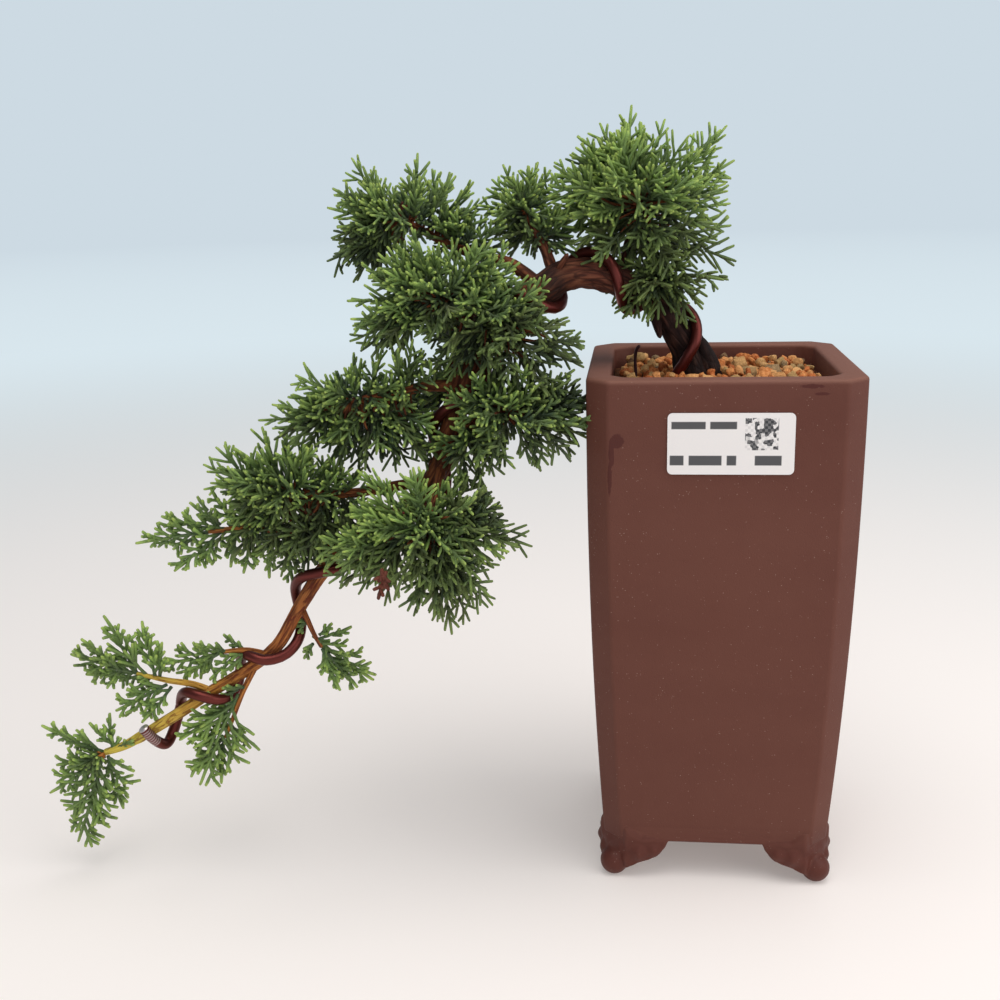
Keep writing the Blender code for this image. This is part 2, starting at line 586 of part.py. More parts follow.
def wire_stations():
    """The trunk wire: a right-handed winding held off the bark, with a hooked end."""
    drawn = drawn_stations(TRUNK, 2 * MM)
    line = smooth_stations(TRUNK, 2 * MM)
    lengths = [0.0]                 # along the trunk as drawn, so that turns keep their branches
    for (a, _), (b, _) in zip(drawn, drawn[1:]):
        lengths.append(lengths[-1] + (b - a).length * MM)
    soil_at = next(s for s, (point, _) in zip(lengths, drawn) if point.z > 0)
    crossings = [soil_at + value * MM for value in WIRE_CROSSINGS]

    def turns(s):
        """Turns made at a distance along the trunk; a whole number is at the front."""
        for i in range(len(crossings) - 1):
            if s <= crossings[i + 1] or i == len(crossings) - 2:
                return i + (s - crossings[i]) / (crossings[i + 1] - crossings[i])

    def at(s):
        for i in range(len(line) - 1):
            if lengths[i + 1] >= s:
                break
        t = (s - lengths[i]) / (lengths[i + 1] - lengths[i])
        point = line[i][0].lerp(line[i + 1][0], t)
        low, high = max(i - 2, 0), min(i + 3, len(line) - 1)
        along = (line[high][0] - line[low][0]).normalized()
        return point, along, line[i][1] + (line[i + 1][1] - line[i][1]) * t

    stations = []
    start, end = soil_at - 2 * MM, crossings[-1]
    s = start
    while s < end:
        point, along, radius = at(s)
        front = Vector((0, -1, 0))
        front = (front - along * front.dot(along)).normalized()
        arm = Matrix.Rotation(2 * math.pi * turns(s), 3, along) @ front
        reach = radius + WIRE_THICKNESS / 2 + WIRE_STAND_OFF + WIRE_SLACK * s / end
        stations.append((point + arm * reach, WIRE_THICKNESS / 2))
        s += (crossings[-1] - crossings[0]) / (len(crossings) - 1) / WIRE_STEPS_PER_TURN
    foot = stations[0][0]
    anchor = [(foot - Vector((0, 0, depth)), WIRE_THICKNESS / 2) for depth in (WIRE_ANCHOR, WIRE_ANCHOR / 2)]
    return anchor + stations


def build_wire():
    stations = wire_stations()
    add_part("trunk_wire", tube_mesh("trunk_wire", stations, 2), maroon_wire)
    return add_cutter("wire_clearance", tube_mesh("wire_clearance", swollen(stations, FOLIAGE_CLEARANCE), 2))


def build_tie_wire():
    """The cut end of the wire that ties the root ball down, bent over at its tip."""
    foot = place(-36, -6, 0)
    top = foot + Vector((-1.5 * MM, 0, TIE_WIRE_HEIGHT))
    points = [foot - Vector((0, 0, 30 * MM)), foot - Vector((0, 0, 12 * MM)), foot, foot.lerp(top, 0.5), top]
    points.append(top + Vector((2.0 * MM, -0.5 * MM, 1.5 * MM)))
    stations = [(point, TIE_WIRE / 2) for point in points]
    add_part("tie_wire", tube_mesh("tie_wire", stations, 1), dark_wire)
    return add_cutter("tie_clearance", tube_mesh("tie_clearance", swollen(stations, ROOT_CLEARANCE), 1))


def lump(name, centre, half_sizes, seed, lobes, level, smooth_angle=60):
    """A rounded lump with uneven lobes."""
    bm = bmesh.new()
    bmesh.ops.create_icosphere(bm, subdivisions=level, radius=1.0)
    shift = Vector((seed * 7.3, seed * 3.1, seed * 5.7))
    for vert in bm.verts:
        swell = 1 + lobes * noise.noise(vert.co * 1.7 + shift)
        vert.co = Vector([centre[i] + vert.co[i] * swell * half_sizes[i] for i in range(3)])
    return mesh_from(bm, name, smooth_angle)


def build_foliage():
    for seed, (name, (middle, half_sizes)) in enumerate(PADS.items()):
        sizes = [size * MM * FOLIAGE_FULLNESS for size in half_sizes]
        level = 3 if max(half_sizes) > SMALL_PAD else 2
        pad = add_part(name, lump(name, place(*middle), sizes, seed, PAD_LOBES, level), leaf)
        boolean(pad, wood_clearance, "DIFFERENCE")
        boolean(pad, wire_clearance, "DIFFERENCE")


def build_granules():
    """Loose grains on the soil, clear of the stems, the wires and the wall."""
    chooser = random.Random(11)
    trunk_foot = place(-9, 3, 0)
    tie_foot = place(-36, -6, 0)
    room = POT_WIDTH / 2 - POT_WALL - GRANULE_SIZE
    spots = []
    while len(spots) < GRANULES:
        spot = Vector((chooser.uniform(-room, room), chooser.uniform(-room, room), 0))
        if (spot - trunk_foot).xy.length < TRUNK_ROOM * WOOD_THICKNESS + WIRE_THICKNESS + GRANULE_SIZE / 2:
            continue
        if (spot - tie_foot).xy.length < TIE_WIRE + GRANULE_SIZE:
            continue
        if any((spot - other).xy.length < 1.5 * GRANULE_SIZE for other in spots):
            continue
        spots.append(spot)
    for index, spot in enumerate(spots):
        half = GRANULE_SIZE / 2 * chooser.uniform(0.85, 1.15)
        tall = half * 0.75
        sizes = (half, half * 0.85, tall)
        centre = (spot.x, spot.y, soil_height(spot.x, spot.y) + tall * 1.15 + 0.5 * MM)
        add_part("granule_%02d" % (index + 1), lump("granule", centre, sizes, index, 0.2, 2), grain)


def rest_on_origin():
    """Moves the root so that the whole object's box stands centred on the origin."""
    bpy.context.view_layer.update()
    graph = bpy.context.evaluated_depsgraph_get()
    low = Vector((math.inf,) * 3)
    high = Vector((-math.inf,) * 3)
    for obj in parts.objects:
        if obj.type != "MESH":
            continue
        shape = obj.evaluated_get(graph)
        for corner in shape.bound_box:
            world = obj.matrix_world @ Vector(corner)
            low = Vector(map(min, low, world))
            high = Vector(map(max, high, world))
    root.location = (-(low.x + high.x) / 2, -(low.y + high.y) / 2, -low.z)


build_pot()
build_label()
build_drainage_mesh()
build_clip()
build_drainage_layer()
wood = grow_wood("trunk", 0.0)
wood_clearance = grow_wood("wood_clearance", ROOT_CLEARANCE)
wire_clearance = build_wire()
boolean(wood, wire_clearance, "DIFFERENCE")     # bark gives way where a turn would press into it
tie_clearance = build_tie_wire()
build_soil()
build_granules()
build_foliage()
rest_on_origin()
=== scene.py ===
import math
from random import Random

import bmesh
import bpy
import numpy as np
from mathutils import Matrix, Vector, noise


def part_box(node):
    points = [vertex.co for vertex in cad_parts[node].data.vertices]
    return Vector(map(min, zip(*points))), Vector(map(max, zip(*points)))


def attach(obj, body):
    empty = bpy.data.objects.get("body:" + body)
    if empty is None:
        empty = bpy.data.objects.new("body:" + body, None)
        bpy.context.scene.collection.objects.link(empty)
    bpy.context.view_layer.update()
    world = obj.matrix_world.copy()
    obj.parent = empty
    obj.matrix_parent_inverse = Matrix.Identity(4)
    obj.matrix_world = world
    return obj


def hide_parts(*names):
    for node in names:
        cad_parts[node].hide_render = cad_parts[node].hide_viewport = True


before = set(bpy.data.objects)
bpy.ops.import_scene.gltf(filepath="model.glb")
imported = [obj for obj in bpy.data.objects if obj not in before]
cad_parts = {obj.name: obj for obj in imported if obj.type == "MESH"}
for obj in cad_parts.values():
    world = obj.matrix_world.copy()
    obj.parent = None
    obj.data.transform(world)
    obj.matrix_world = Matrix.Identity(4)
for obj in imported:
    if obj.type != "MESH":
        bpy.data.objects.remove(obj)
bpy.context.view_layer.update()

mm = 0.001
potLow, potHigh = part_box("pot")
potMiddle = Vector(((potLow.x + potHigh.x) / 2, (potLow.y + potHigh.y) / 2, 0))
rimTop = potHigh.z
soilTop = rimTop - 10 * mm
scene = bpy.context.scene


def drawn(x, y, z):
    # a point drawn in millimetres from the pot's middle at soil level
    return Vector((potMiddle.x + x * mm, potMiddle.y + y * mm, soilTop + z * mm))


def tone(red, green, blue):
    # a paint colour from screen values of 0 to 255
    mixed = []
    for value in (red, green, blue):
        share = value / 255
        mixed.append(share / 12.92 if share <= 0.04045 else ((share + 0.055) / 1.055) ** 2.4)
    return (*mixed, 1.0)


# Materials

class Signal:
    # a shader socket that can be used in sums

    def __init__(self, tree, socket):
        self.tree = tree
        self.socket = socket

    def combine(self, operation, *values):
        node = self.tree.nodes.new("ShaderNodeMath")
        node.operation = operation
        for index, value in enumerate(values):
            feed(self.tree, node.inputs[index], value)
        return Signal(self.tree, node.outputs[0])

    def __add__(self, other):
        return self.combine("ADD", self, other)

    def __radd__(self, other):
        return self.combine("ADD", other, self)

    def __sub__(self, other):
        return self.combine("SUBTRACT", self, other)

    def __rsub__(self, other):
        return self.combine("SUBTRACT", other, self)

    def __mul__(self, other):
        return self.combine("MULTIPLY", self, other)

    def __rmul__(self, other):
        return self.combine("MULTIPLY", other, self)

    def __truediv__(self, other):
        return self.combine("DIVIDE", self, other)

    def clamp(self):
        low = self.combine("MAXIMUM", self, 0.0)
        return self.combine("MINIMUM", low, 1.0)

    def above(self, edge, soft):
        # 0 below an edge, 1 above it, over a soft width
        return ((self - (edge - soft / 2)) / soft).clamp()

    def below(self, edge, soft):
        return 1 - self.above(edge, soft)


def feed(tree, socket, value):
    if isinstance(value, Signal):
        tree.links.new(value.socket, socket)
    else:
        socket.default_value = value


class Paint:
    # a material in the making

    def __init__(self, name, **fixed):
        self.material = bpy.data.materials.new(name)
        self.material.use_nodes = True
        self.tree = self.material.node_tree
        self.shader = self.tree.nodes["Principled BSDF"]
        for socket, value in fixed.items():
            self.shader.inputs[socket.replace("_", " ")].default_value = value

    def node(self, kind, settings=None, sockets=None, out=0):
        made = self.tree.nodes.new("ShaderNode" + kind)
        for key, value in (settings or {}).items():
            if key == "stops":
                ramp = made.color_ramp.elements
                while len(ramp) < len(value):
                    ramp.new(0.5)
                for element, (place, *colour) in zip(ramp, value):
                    element.position = place
                    element.color = tone(*colour)
            else:
                setattr(made, key, value)
        for key, value in (sockets or {}).items():
            feed(self.tree, made.inputs[key], value)
        return Signal(self.tree, made.outputs[out])

    def place(self):
        return self.node("TexCoord", out=3)

    def uv(self):
        return self.node("TexCoord", out=2)

    def value(self, name):
        return self.node("Attribute", {"attribute_name": name}, out=2)

    def vector(self, name):
        return self.node("Attribute", {"attribute_name": name}, out=1)

    def axes(self, vector):
        parts = self.node("SeparateXYZ", sockets={0: vector}).socket.node.outputs
        return [Signal(self.tree, part) for part in parts]

    def scaled(self, vector, scale):
        # a pattern's place and size, where a size for each axis stretches it
        if isinstance(scale, tuple):
            return {"Vector": self.node("Mapping", sockets={"Vector": vector, "Scale": scale}), "Scale": 1.0}
        return {"Vector": vector, "Scale": scale}

    def cloud(self, vector, scale, detail=3.0, rough=0.5, twist=0.0):
        sockets = {**self.scaled(vector, scale), "Detail": detail, "Roughness": rough, "Distortion": twist}
        return self.node("TexNoise", sockets=sockets)

    def cells(self, vector, scale, out=0, **settings):
        return self.node("TexVoronoi", settings, self.scaled(vector, scale), out)

    def blend(self, share, *colours):
        # each colour is a signal, three screen values or a ready colour of four
        under, over = (tone(*one) if isinstance(one, tuple) and len(one) == 3 else one for one in colours)
        settings = {"data_type": "RGBA", "clamp_factor": True}
        return self.node("Mix", settings, {0: share, 6: under, 7: over}, 2)

    def coated(self, colour, *coats):
        # a colour under coats of others, each with its share
        for share, coat in coats:
            colour = self.blend(share, colour, coat)
        return colour

    def ramp(self, share, stops):
        return self.node("ValToRGB", {"stops": stops}, {"Fac": share})

    def bump(self, height, strength, distance):
        return self.node("Bump", sockets={"Height": height, "Strength": strength, "Distance": distance})

    def finish(self, **links):
        for socket, value in links.items():
            feed(self.tree, self.shader.inputs[socket.replace("_", " ")], value)
        return self.material


clayLook = {
    "body": (100, 57, 46),
    "deep": (84, 42, 34),
    "pale": (122, 78, 64),
    # painted highlight: the rim's top is painted paler
    "rim": (128, 86, 72),
    "foot": (84, 36, 27),
    "speck": (172, 140, 126),
    "stain": (74, 26, 19),
    # stains on the front face: how far aside and up, and how wide and tall, in metres
    "stains": [(-0.0432, 0.2015, 0.0034, 0.0038), (-0.0455, 0.196, 0.0014, 0.008),
               (-0.0462, 0.186, 0.0011, 0.009), (0.033, 0.2235, 0.006, 0.0011),
               (0.0365, 0.2205, 0.0036, 0.0008)],
    "speckSize": 900.0,
    "grainSize": 2600.0,
    "pitSize": 700.0,
}


def clayMaterial():
    paint = Paint("clay", Roughness=0.62, Specular_IOR_Level=0.25)
    look = clayLook
    place = paint.place()
    x, y, height = paint.axes(place)
    mottle = paint.cloud(place, 28.0, 5.0, 0.6)
    wash = paint.cloud(place, 7.0)
    low = height.below(0.022, 0.012)
    specks = paint.cells(place, look["speckSize"])
    chosen = paint.cloud(place, 420.0, 2.0).above(0.62, 0.06)
    ragged = paint.cloud(place, 420.0, 5.0, 0.65) * 1.3
    stained = 0.0
    for aside, up, wide, tall in look["stains"]:
        across = (x - (potMiddle.x + aside)) / wide
        rise = (height - up) / tall
        stained = stained + (across * across + rise * rise + ragged).below(1.25, 0.25)
    stained = (stained * y.below(potLow.y + 0.012, 0.002)).clamp()
    colour = paint.coated(
        look["body"], (mottle.above(0.5, 0.6) * 0.55, look["deep"]),
        (wash.above(0.58, 0.3) * 0.3, look["pale"]), (low * 0.75, look["foot"]),
        # paler edges: wear on the body's arrises, and a painted highlight on the feet's edges
        (paint.value("worn") * 0.55, look["pale"]),
        # painted highlight: the rim's top is painted paler
        (height.above(rimTop - 0.0012, 0.0016) * 0.8, look["rim"]),
        (specks.below(0.16, 0.1) * chosen * 0.7, look["speck"]), (stained * 0.8, look["stain"]))
    grain = paint.cloud(place, look["grainSize"], 4.0, 0.7)
    pits = paint.cells(place, look["pitSize"]).above(0.2, 0.25)
    normal = paint.bump(grain * 0.6 + pits * 0.4 + mottle * 0.5, 0.35, 0.00035)
    rough = 0.54 + mottle * 0.2 - stained * 0.3 - low * 0.14
    return paint.finish(Base_Color=colour, Roughness=rough, Normal=normal)


def barkMaterial():
    paint = Paint("bark", Roughness=0.8, Specular_IOR_Level=0.25)
    stem = paint.vector("stem")
    ridge = paint.value("ridge")
    age = paint.value("age")          # 0 at the dark foot, 1 on the young green-gold tail
    fibre = paint.cloud(stem, (900.0, 900.0, 55.0), 5.0, 0.65, 0.4)
    patch = paint.cloud(stem, (380.0, 380.0, 200.0), 4.0, 0.6, 0.6)
    plate = paint.cells(stem, (260.0, 260.0, 70.0), feature="DISTANCE_TO_EDGE")
    young = age.above(0.66, 0.3)
    old = paint.ramp(age, [
        (0.0, 34, 19, 17), (0.17, 50, 26, 21), (0.28, 104, 54, 42), (0.42, 122, 66, 36),
        (0.6, 158, 88, 44), (0.75, 196, 136, 54), (1.0, 206, 184, 72)])
    pale = paint.ramp(age, [
        (0.0, 80, 58, 50), (0.17, 112, 74, 60), (0.3, 158, 98, 74), (0.45, 190, 122, 70),
        (0.65, 206, 136, 66), (0.8, 222, 184, 92), (1.0, 218, 200, 104)])
    dark = paint.ramp(age, [
        (0.0, 18, 11, 11), (0.25, 44, 22, 18), (0.5, 70, 32, 18), (0.7, 112, 56, 28),
        (1.0, 146, 104, 42)])
    peel = paint.cloud(stem, (420.0, 420.0, 90.0), 5.0, 0.62, 1.2).above(0.55, 0.05)
    colour = paint.coated(
        dark, (fibre.above(0.46, 0.25) + young * 0.6, old), (ridge.above(0.66, 0.3) * 0.45, pale),
        (ridge.below(0.34, 0.28) * (0.7 - young * 0.35), dark),
        (plate.below(0.05, 0.07) * (0.65 - young * 0.5), dark),
        (peel * age.above(0.46, 0.2) * (0.9 - young * 0.25), (104, 42, 24)),
        # near-black around the knuckle, where the branches meet the trunk
        (patch.above(0.66, 0.06) * young * 0.6, (150, 84, 40)), (paint.value("char") * 0.85, (24, 15, 14)))
    relief = fibre * (0.7 - young * 0.4) + plate.above(0.06, 0.12) * (0.5 - young * 0.4) + peel * 0.35
    normal = paint.bump(relief, 0.75, 0.0007)
    rough = 0.88 - age * 0.22 - fibre * 0.1
    return paint.finish(Base_Color=colour, Roughness=rough, Normal=normal)


def anodisedMaterial(name, bright, deep, shine):
    paint = Paint(name, Metallic=0.85, Roughness=shine, Specular_IOR_Level=0.5)
    stem = paint.vector("stem")
    dust = paint.cloud(stem, (260.0, 260.0, 60.0), 4.0, 0.6)
    lines = paint.cloud(stem, (1800.0, 1800.0, 30.0), 2.0)
    colour = paint.blend(dust.above(0.52, 0.4) * 0.6, bright, deep)
    colour = paint.blend(paint.value("cut"), colour, (214, 202, 202))
    normal = paint.bump(lines * 0.5 + dust * 0.5, 0.2, 0.0002)
    rough = shine + dust * 0.22
    return paint.finish(Base_Color=colour, Roughness=rough, Normal=normal)


leafLook = {
    # each shade from its darkest to its lightest
    "shades": {"deep": ((13, 27, 7), (60, 92, 37)), "fresh": ((48, 76, 25), (176, 214, 92)),
               "faded": ((44, 46, 20), (136, 138, 84)), "dry": ((70, 26, 18), (124, 60, 38))},
    # the bloom colour is waxy bloom and a painted highlight
    "tip": (206, 230, 104), "bloomAndSheen": (150, 176, 150), "seam": (22, 36, 24),
}


def leafMaterial():
    paint = Paint("leaf", Roughness=0.55, Specular_IOR_Level=0.5)
    along, tint, young, dead, olive = [
        paint.value(key) for key in ("along", "tint", "young", "dead", "olive")]
    scales = paint.node("TexWave", {"bands_direction": "Y"}, {
        "Vector": paint.uv(), "Scale": 2.4, "Distortion": 2.0, "Detail": 2.0, "Detail Scale": 3.0})
    shades = {key: paint.blend(tint, *pair) for key, pair in leafLook["shades"].items()}
    colour = paint.coated(
        shades["deep"], (along.above(0.5, 0.9), shades["fresh"]),
        (along.above(0.91, 0.12) * young, leafLook["tip"]),
        # pale on the scales' raised bands: waxy bloom and a painted highlight
        (scales.above(0.78, 0.3) * 0.3, leafLook["bloomAndSheen"]), (scales.below(0.3, 0.3) * 0.35, leafLook["seam"]),
        (olive * (0.8 - along * 0.3), shades["faded"]), (dead, shades["dry"]))
    normal = paint.bump(scales, 0.5, 0.0004)
    rough = 0.42 + (1 - scales) * 0.18 + dead * 0.2
    return paint.finish(Base_Color=colour, Roughness=rough, Normal=normal)


def grainMaterial():
    paint = Paint("grain", Roughness=0.95, Specular_IOR_Level=0.2)
    place = paint.place()
    tint = paint.value("tint")
    colour = paint.ramp(tint, [
        (0.0, 170, 84, 40), (0.2, 196, 108, 54), (0.5, 216, 142, 82), (0.74, 220, 168, 110),
        (0.86, 166, 134, 86), (0.94, 124, 106, 80), (1.0, 94, 70, 54)])
    dust = paint.cloud(place, 900.0, 5.0, 0.7)
    colour = paint.coated(
        colour, (dust.above(0.6, 0.3) * 0.45, (222, 172, 122)), (dust.below(0.4, 0.3) * 0.5, (88, 48, 30)))
    pores = paint.cells(place, 1500.0)
    normal = paint.bump(dust * 0.7 + pores * 0.4, 0.8, 0.0005)
    return paint.finish(Base_Color=colour, Normal=normal)


def soilMaterial():
    paint = Paint("soil", Roughness=0.97, Specular_IOR_Level=0.15)
    place = paint.place()
    crumbs, dust = paint.cells(place, 260.0), paint.cloud(place, 500.0, 5.0, 0.7)
    colour = paint.blend(dust.above(0.5, 0.4), (58, 34, 22), (112, 68, 42))
    normal = paint.bump(dust * 0.5 - crumbs, 0.9, 0.002)
    return paint.finish(Base_Color=colour, Normal=normal)


def pumiceMaterial():
    paint = Paint("pumice", Roughness=0.95)
    place = paint.place()
    stones, dust = paint.cells(place, 120.0), paint.cloud(place, 600.0, 4.0, 0.6)
    colour = paint.blend(stones.above(0.5, 0.6), (186, 172, 148), (120, 104, 84))
    normal = paint.bump(dust * 0.3 - stones, 0.9, 0.003)
    return paint.finish(Base_Color=colour, Normal=normal)


def plasticMaterial():
    paint = Paint("netPlastic", Roughness=0.5)
    scuff = paint.cloud(paint.place(), 300.0)
    colour = paint.blend(scuff.above(0.55, 0.3) * 0.4, (24, 26, 26), (56, 58, 56))
    normal = paint.bump(scuff, 0.2, 0.0003)
    return paint.finish(Base_Color=colour, Roughness=0.42 + scuff * 0.2, Normal=normal)


def clipMaterial():
    paint = Paint("clipMetal", Metallic=0.9, Roughness=0.35)
    dull = paint.cloud(paint.place(), 200.0)
    colour = paint.blend(dull, (150, 140, 130), (96, 86, 78))
    return paint.finish(Base_Color=colour, Roughness=0.3 + dull * 0.25)


labelLook = {
    "paper": (240, 233, 230), "ink": (52, 52, 56), "soft": (224, 224, 226),
    # plain bars and a blotchy block: left, right, bottom and top as shares of the label
    "bars": [(0.03, 0.3, 0.74, 0.86), (0.335, 0.545, 0.74, 0.86), (0.02, 0.13, 0.15, 0.31),
             (0.17, 0.43, 0.15, 0.31), (0.47, 0.545, 0.15, 0.31), (0.69, 0.9, 0.15, 0.31)],
    "panel": (0.61, 0.87, 0.4, 0.92), "soften": 0.006,
}


def labelMaterial():
    paint = Paint("labelPaper", Roughness=0.45, Specular_IOR_Level=0.45)
    low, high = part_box("label")
    place = paint.place()
    x, y, z = paint.axes(place)
    across = (x - low.x) / (high.x - low.x)
    up = (z - low.z) / (high.z - low.z)

    def block(left, right, bottom, top):
        soft = labelLook["soften"]
        return (across.above(left, soft) * across.below(right, soft)
                * up.above(bottom, soft * 2) * up.below(top, soft * 2))

    bars = sum(block(*bar) for bar in labelLook["bars"])
    panel = block(*labelLook["panel"])
    checks = paint.node("TexChecker", sockets={
        "Vector": place, "Scale": 900.0, "Color1": (1, 1, 1, 1), "Color2": (0, 0, 0, 1)}, out=1)
    spots = paint.cells(place, 560.0, 1, feature="F1", distance="CHEBYCHEV")
    lot = paint.axes(spots)[0].above(0.5, 0.05)
    ink = (bars * 0.95 + panel * (lot * 0.85 + checks * 0.15)).clamp()
    fibre = paint.cloud(place, 1200.0, 4.0)
    paper = paint.blend(fibre.above(0.6, 0.4) * 0.2, labelLook["paper"], labelLook["soft"])
    colour = paint.blend(ink, paper, labelLook["ink"])
    return paint.finish(Base_Color=colour, Normal=paint.bump(fibre, 0.1, 0.0001))


stageLook = {
    "sky": (205, 218, 227), "haze": (222, 236, 242), "floor": (228, 221, 217),
    "lift": (0.23, 0.212, 0.2, 1), "fadeMiddle": 1.1, "fadeWidth": 1.8, "skyStart": 6.0, "fillPower": 0.4,
}


def floorMaterial():
    # pale near the pot, fading into the sky's own colour far away
    paint = Paint("paleFloor", Roughness=1.0, Specular_IOR_Level=0.0, Emission_Strength=1.0)
    x, y, z = paint.axes(paint.place())
    away = paint.node("Math", {"operation": "SQRT"}, {0: x * x + y * y})
    fade = away.above(stageLook["fadeMiddle"], stageLook["fadeWidth"])
    fade = fade * fade * (3 - 2 * fade)
    far = paint.ramp(away / stageLook["skyStart"], [(0.0, *stageLook["haze"]), (1.0, *stageLook["sky"])])
    colour = paint.blend(fade, stageLook["floor"], (0, 0, 0))
    glow = paint.blend(fade, stageLook["lift"], far)
    return paint.finish(Base_Color=colour, Emission_Color=glow)


print("materials")
clay = clayMaterial()
bark = barkMaterial()
maroonWire = anodisedMaterial("maroonWire", (112, 52, 46), (62, 24, 23), 0.26)
darkWire = anodisedMaterial("darkWire", (66, 40, 44), (36, 22, 26), 0.4)
leaf = leafMaterial()
grain = grainMaterial()


# Mesh helpers

def meshObject(name, mesh, material, slotName, *nodes):
    piece = bpy.data.objects.new(name, mesh)
    scene.collection.objects.link(piece)
    mesh.materials.clear()
    mesh.materials.append(material)
    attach(piece, "root")
    if nodes:
        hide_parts(*nodes)
    return piece


def smoothCurve(points, step):
    # even steps along a smooth line through x, y, z and radius
    line = []
    for i in range(len(points) - 1):
        before, start = points[max(i - 1, 0)], points[i]
        end, after = points[i + 1], points[min(i + 2, len(points) - 1)]
        length = math.dist(start[:3], end[:3])
        count = max(1, round(length / step))
        for k in range(count):
            t = k / count
            here = []
            for a, b, c, d in zip(before[:3], start[:3], end[:3], after[:3]):
                value = 2 * b + (c - a) * t
                value += (2 * a - 5 * b + 4 * c - d) * t ** 2 + (3 * b - a - 3 * c + d) * t ** 3
                here.append(value / 2)
            line.append((*here, start[3] + (end[3] - start[3]) * t))
    line.append(tuple(points[-1][:4]))
    return line


def turnedFrames(places):
    # a steady side direction and a forward direction at each point of a line
    frames = []
    side = Vector((0, 0, 1))
    for i in range(len(places)):
        along = (places[min(i + 1, len(places) - 1)] - places[max(i - 1, 0)]).normalized()
        side = side - along * side.dot(along)
        if side.length < 0.01:
            side = along.orthogonal()
        side.normalize()
        frames.append((along, side.copy(), along.cross(side)))
    return frames


def addSleeve(bm, stations, sides, relief=None, extras=None):
    # a tube wrapped from a grid round stations of place and radius, with its seam and ends closed
    places = [place for place, radius in stations]
    frames = turnedFrames(places)
    lengths = [0.0]
    for a, b in zip(places, places[1:]):
        lengths.append(lengths[-1] + (b - a).length)
    rows = len(stations) - 1
    made = bmesh.ops.create_grid(bm, x_segments=sides, y_segments=rows, size=0.5, calc_uvs=False)["verts"]
    stemLayer = bm.verts.layers.float_vector["stem"]
    ridgeLayer = bm.verts.layers.float["ridge"]
    for vert in made:
        column = (vert.co.x + 0.5) * sides
        row = min(max(round((vert.co.y + 0.5) * rows), 0), rows)
        angle = 2 * math.pi * round(column) / sides
        place, radius = stations[row]
        along, side, other = frames[row]
        ahead = lengths[row]
        lift, ridge = relief(angle, ahead) if relief else (0, 0.5)
        reach = radius * (1 + lift)
        if row in (0, rows):
            reach = radius * 0.02
        direction = side * math.cos(angle) + other * math.sin(angle)
        vert.co = place + direction * reach
        vert[stemLayer] = (radius * math.cos(angle), radius * math.sin(angle), ahead)
        vert[ridgeLayer] = ridge
        if extras:
            for name, value in extras(row, rows, ahead).items():
                vert[bm.verts.layers.float[name]] = value
    bmesh.ops.remove_doubles(bm, verts=made, dist=0.00002)


def newSleeves(*names):
    bm = bmesh.new()
    bm.verts.layers.float_vector.new("stem")
    for name in ("ridge", *names):
        bm.verts.layers.float.new(name)
    return bm


def finished(bm, name):
    # the mesh of a bmesh, which ends here
    mesh = bpy.data.meshes.new(name)
    bm.to_mesh(mesh)
    bm.free()
    return mesh


def sleeveObject(bm, name, material, slotName, *nodes):
    bmesh.ops.recalc_face_normals(bm, faces=bm.faces)
    mesh = finished(bm, name)
    mesh.shade_smooth()
    return meshObject(name, mesh, material, slotName, *nodes)


# Pot

potShape = {
    "topHalf": 56 * mm, "baseHalf": 49 * mm, "underside": 18 * mm, "belly": 2.2, "wall": 10 * mm,
    "rimCut": 9 * mm, "baseCut": 10 * mm, "floor": 28 * mm, "arris": 1.3 * mm, "rimRound": 1.5 * mm,
    "bands": 26, "baseRound": 1.4 * mm, "innerCut": 6.3 * mm, "innerRound": 2.6 * mm, "drain": 10 * mm,
}


def potHalf(z):
    share = min(max((z - potShape["underside"]) / (rimTop - potShape["underside"]), 0), 1)
    swell = 1 - (1 - share) ** potShape["belly"]
    return potShape["baseHalf"] + (potShape["topHalf"] - potShape["baseHalf"]) * swell


def evaluated(piece):
    bpy.context.view_layer.update()
    graph = bpy.context.evaluated_depsgraph_get()
    return bpy.data.meshes.new_from_object(piece.evaluated_get(graph))


def looseObject(name, bm):
    piece = bpy.data.objects.new(name, finished(bm, name))
    scene.collection.objects.link(piece)
    return piece


def uprightEdges(bm, tall):
    return [edge for edge in bm.edges if abs(edge.verts[0].co.z - edge.verts[1].co.z) > tall]


def roundOff(bm, edges, offset, segments):
    bmesh.ops.bevel(bm, geom=edges, offset=offset, offset_type="OFFSET", affect="EDGES", segments=segments,
                    profile=0.5, material=-1)


def cutAcross(bm, levels):
    # level rings of edges, so that the walls can take a curve
    for z in levels:
        bmesh.ops.bisect_plane(bm, geom=bm.verts[:] + bm.edges[:] + bm.faces[:], plane_co=(0, 0, z),
                               plane_no=(0, 0, 1), dist=1e-6)


def quarterTurns(bm, count):
    turn = Matrix.Rotation(math.pi / 2 * count, 3, "Z")
    bmesh.ops.rotate(bm, cent=(0, 0, 0), matrix=turn, verts=bm.verts)


def cornerPrism(low, high, cut, half):
    # an upright square prism with its four corners cut off
    bm = bmesh.new()
    bmesh.ops.create_cube(bm, size=1)
    bmesh.ops.scale(bm, vec=(2 * half, 2 * half, high - low), verts=bm.verts)
    bmesh.ops.translate(bm, vec=(0, 0, (low + high) / 2), verts=bm.verts)
    roundOff(bm, uprightEdges(bm, (high - low) / 2), cut, 1)
    return bm


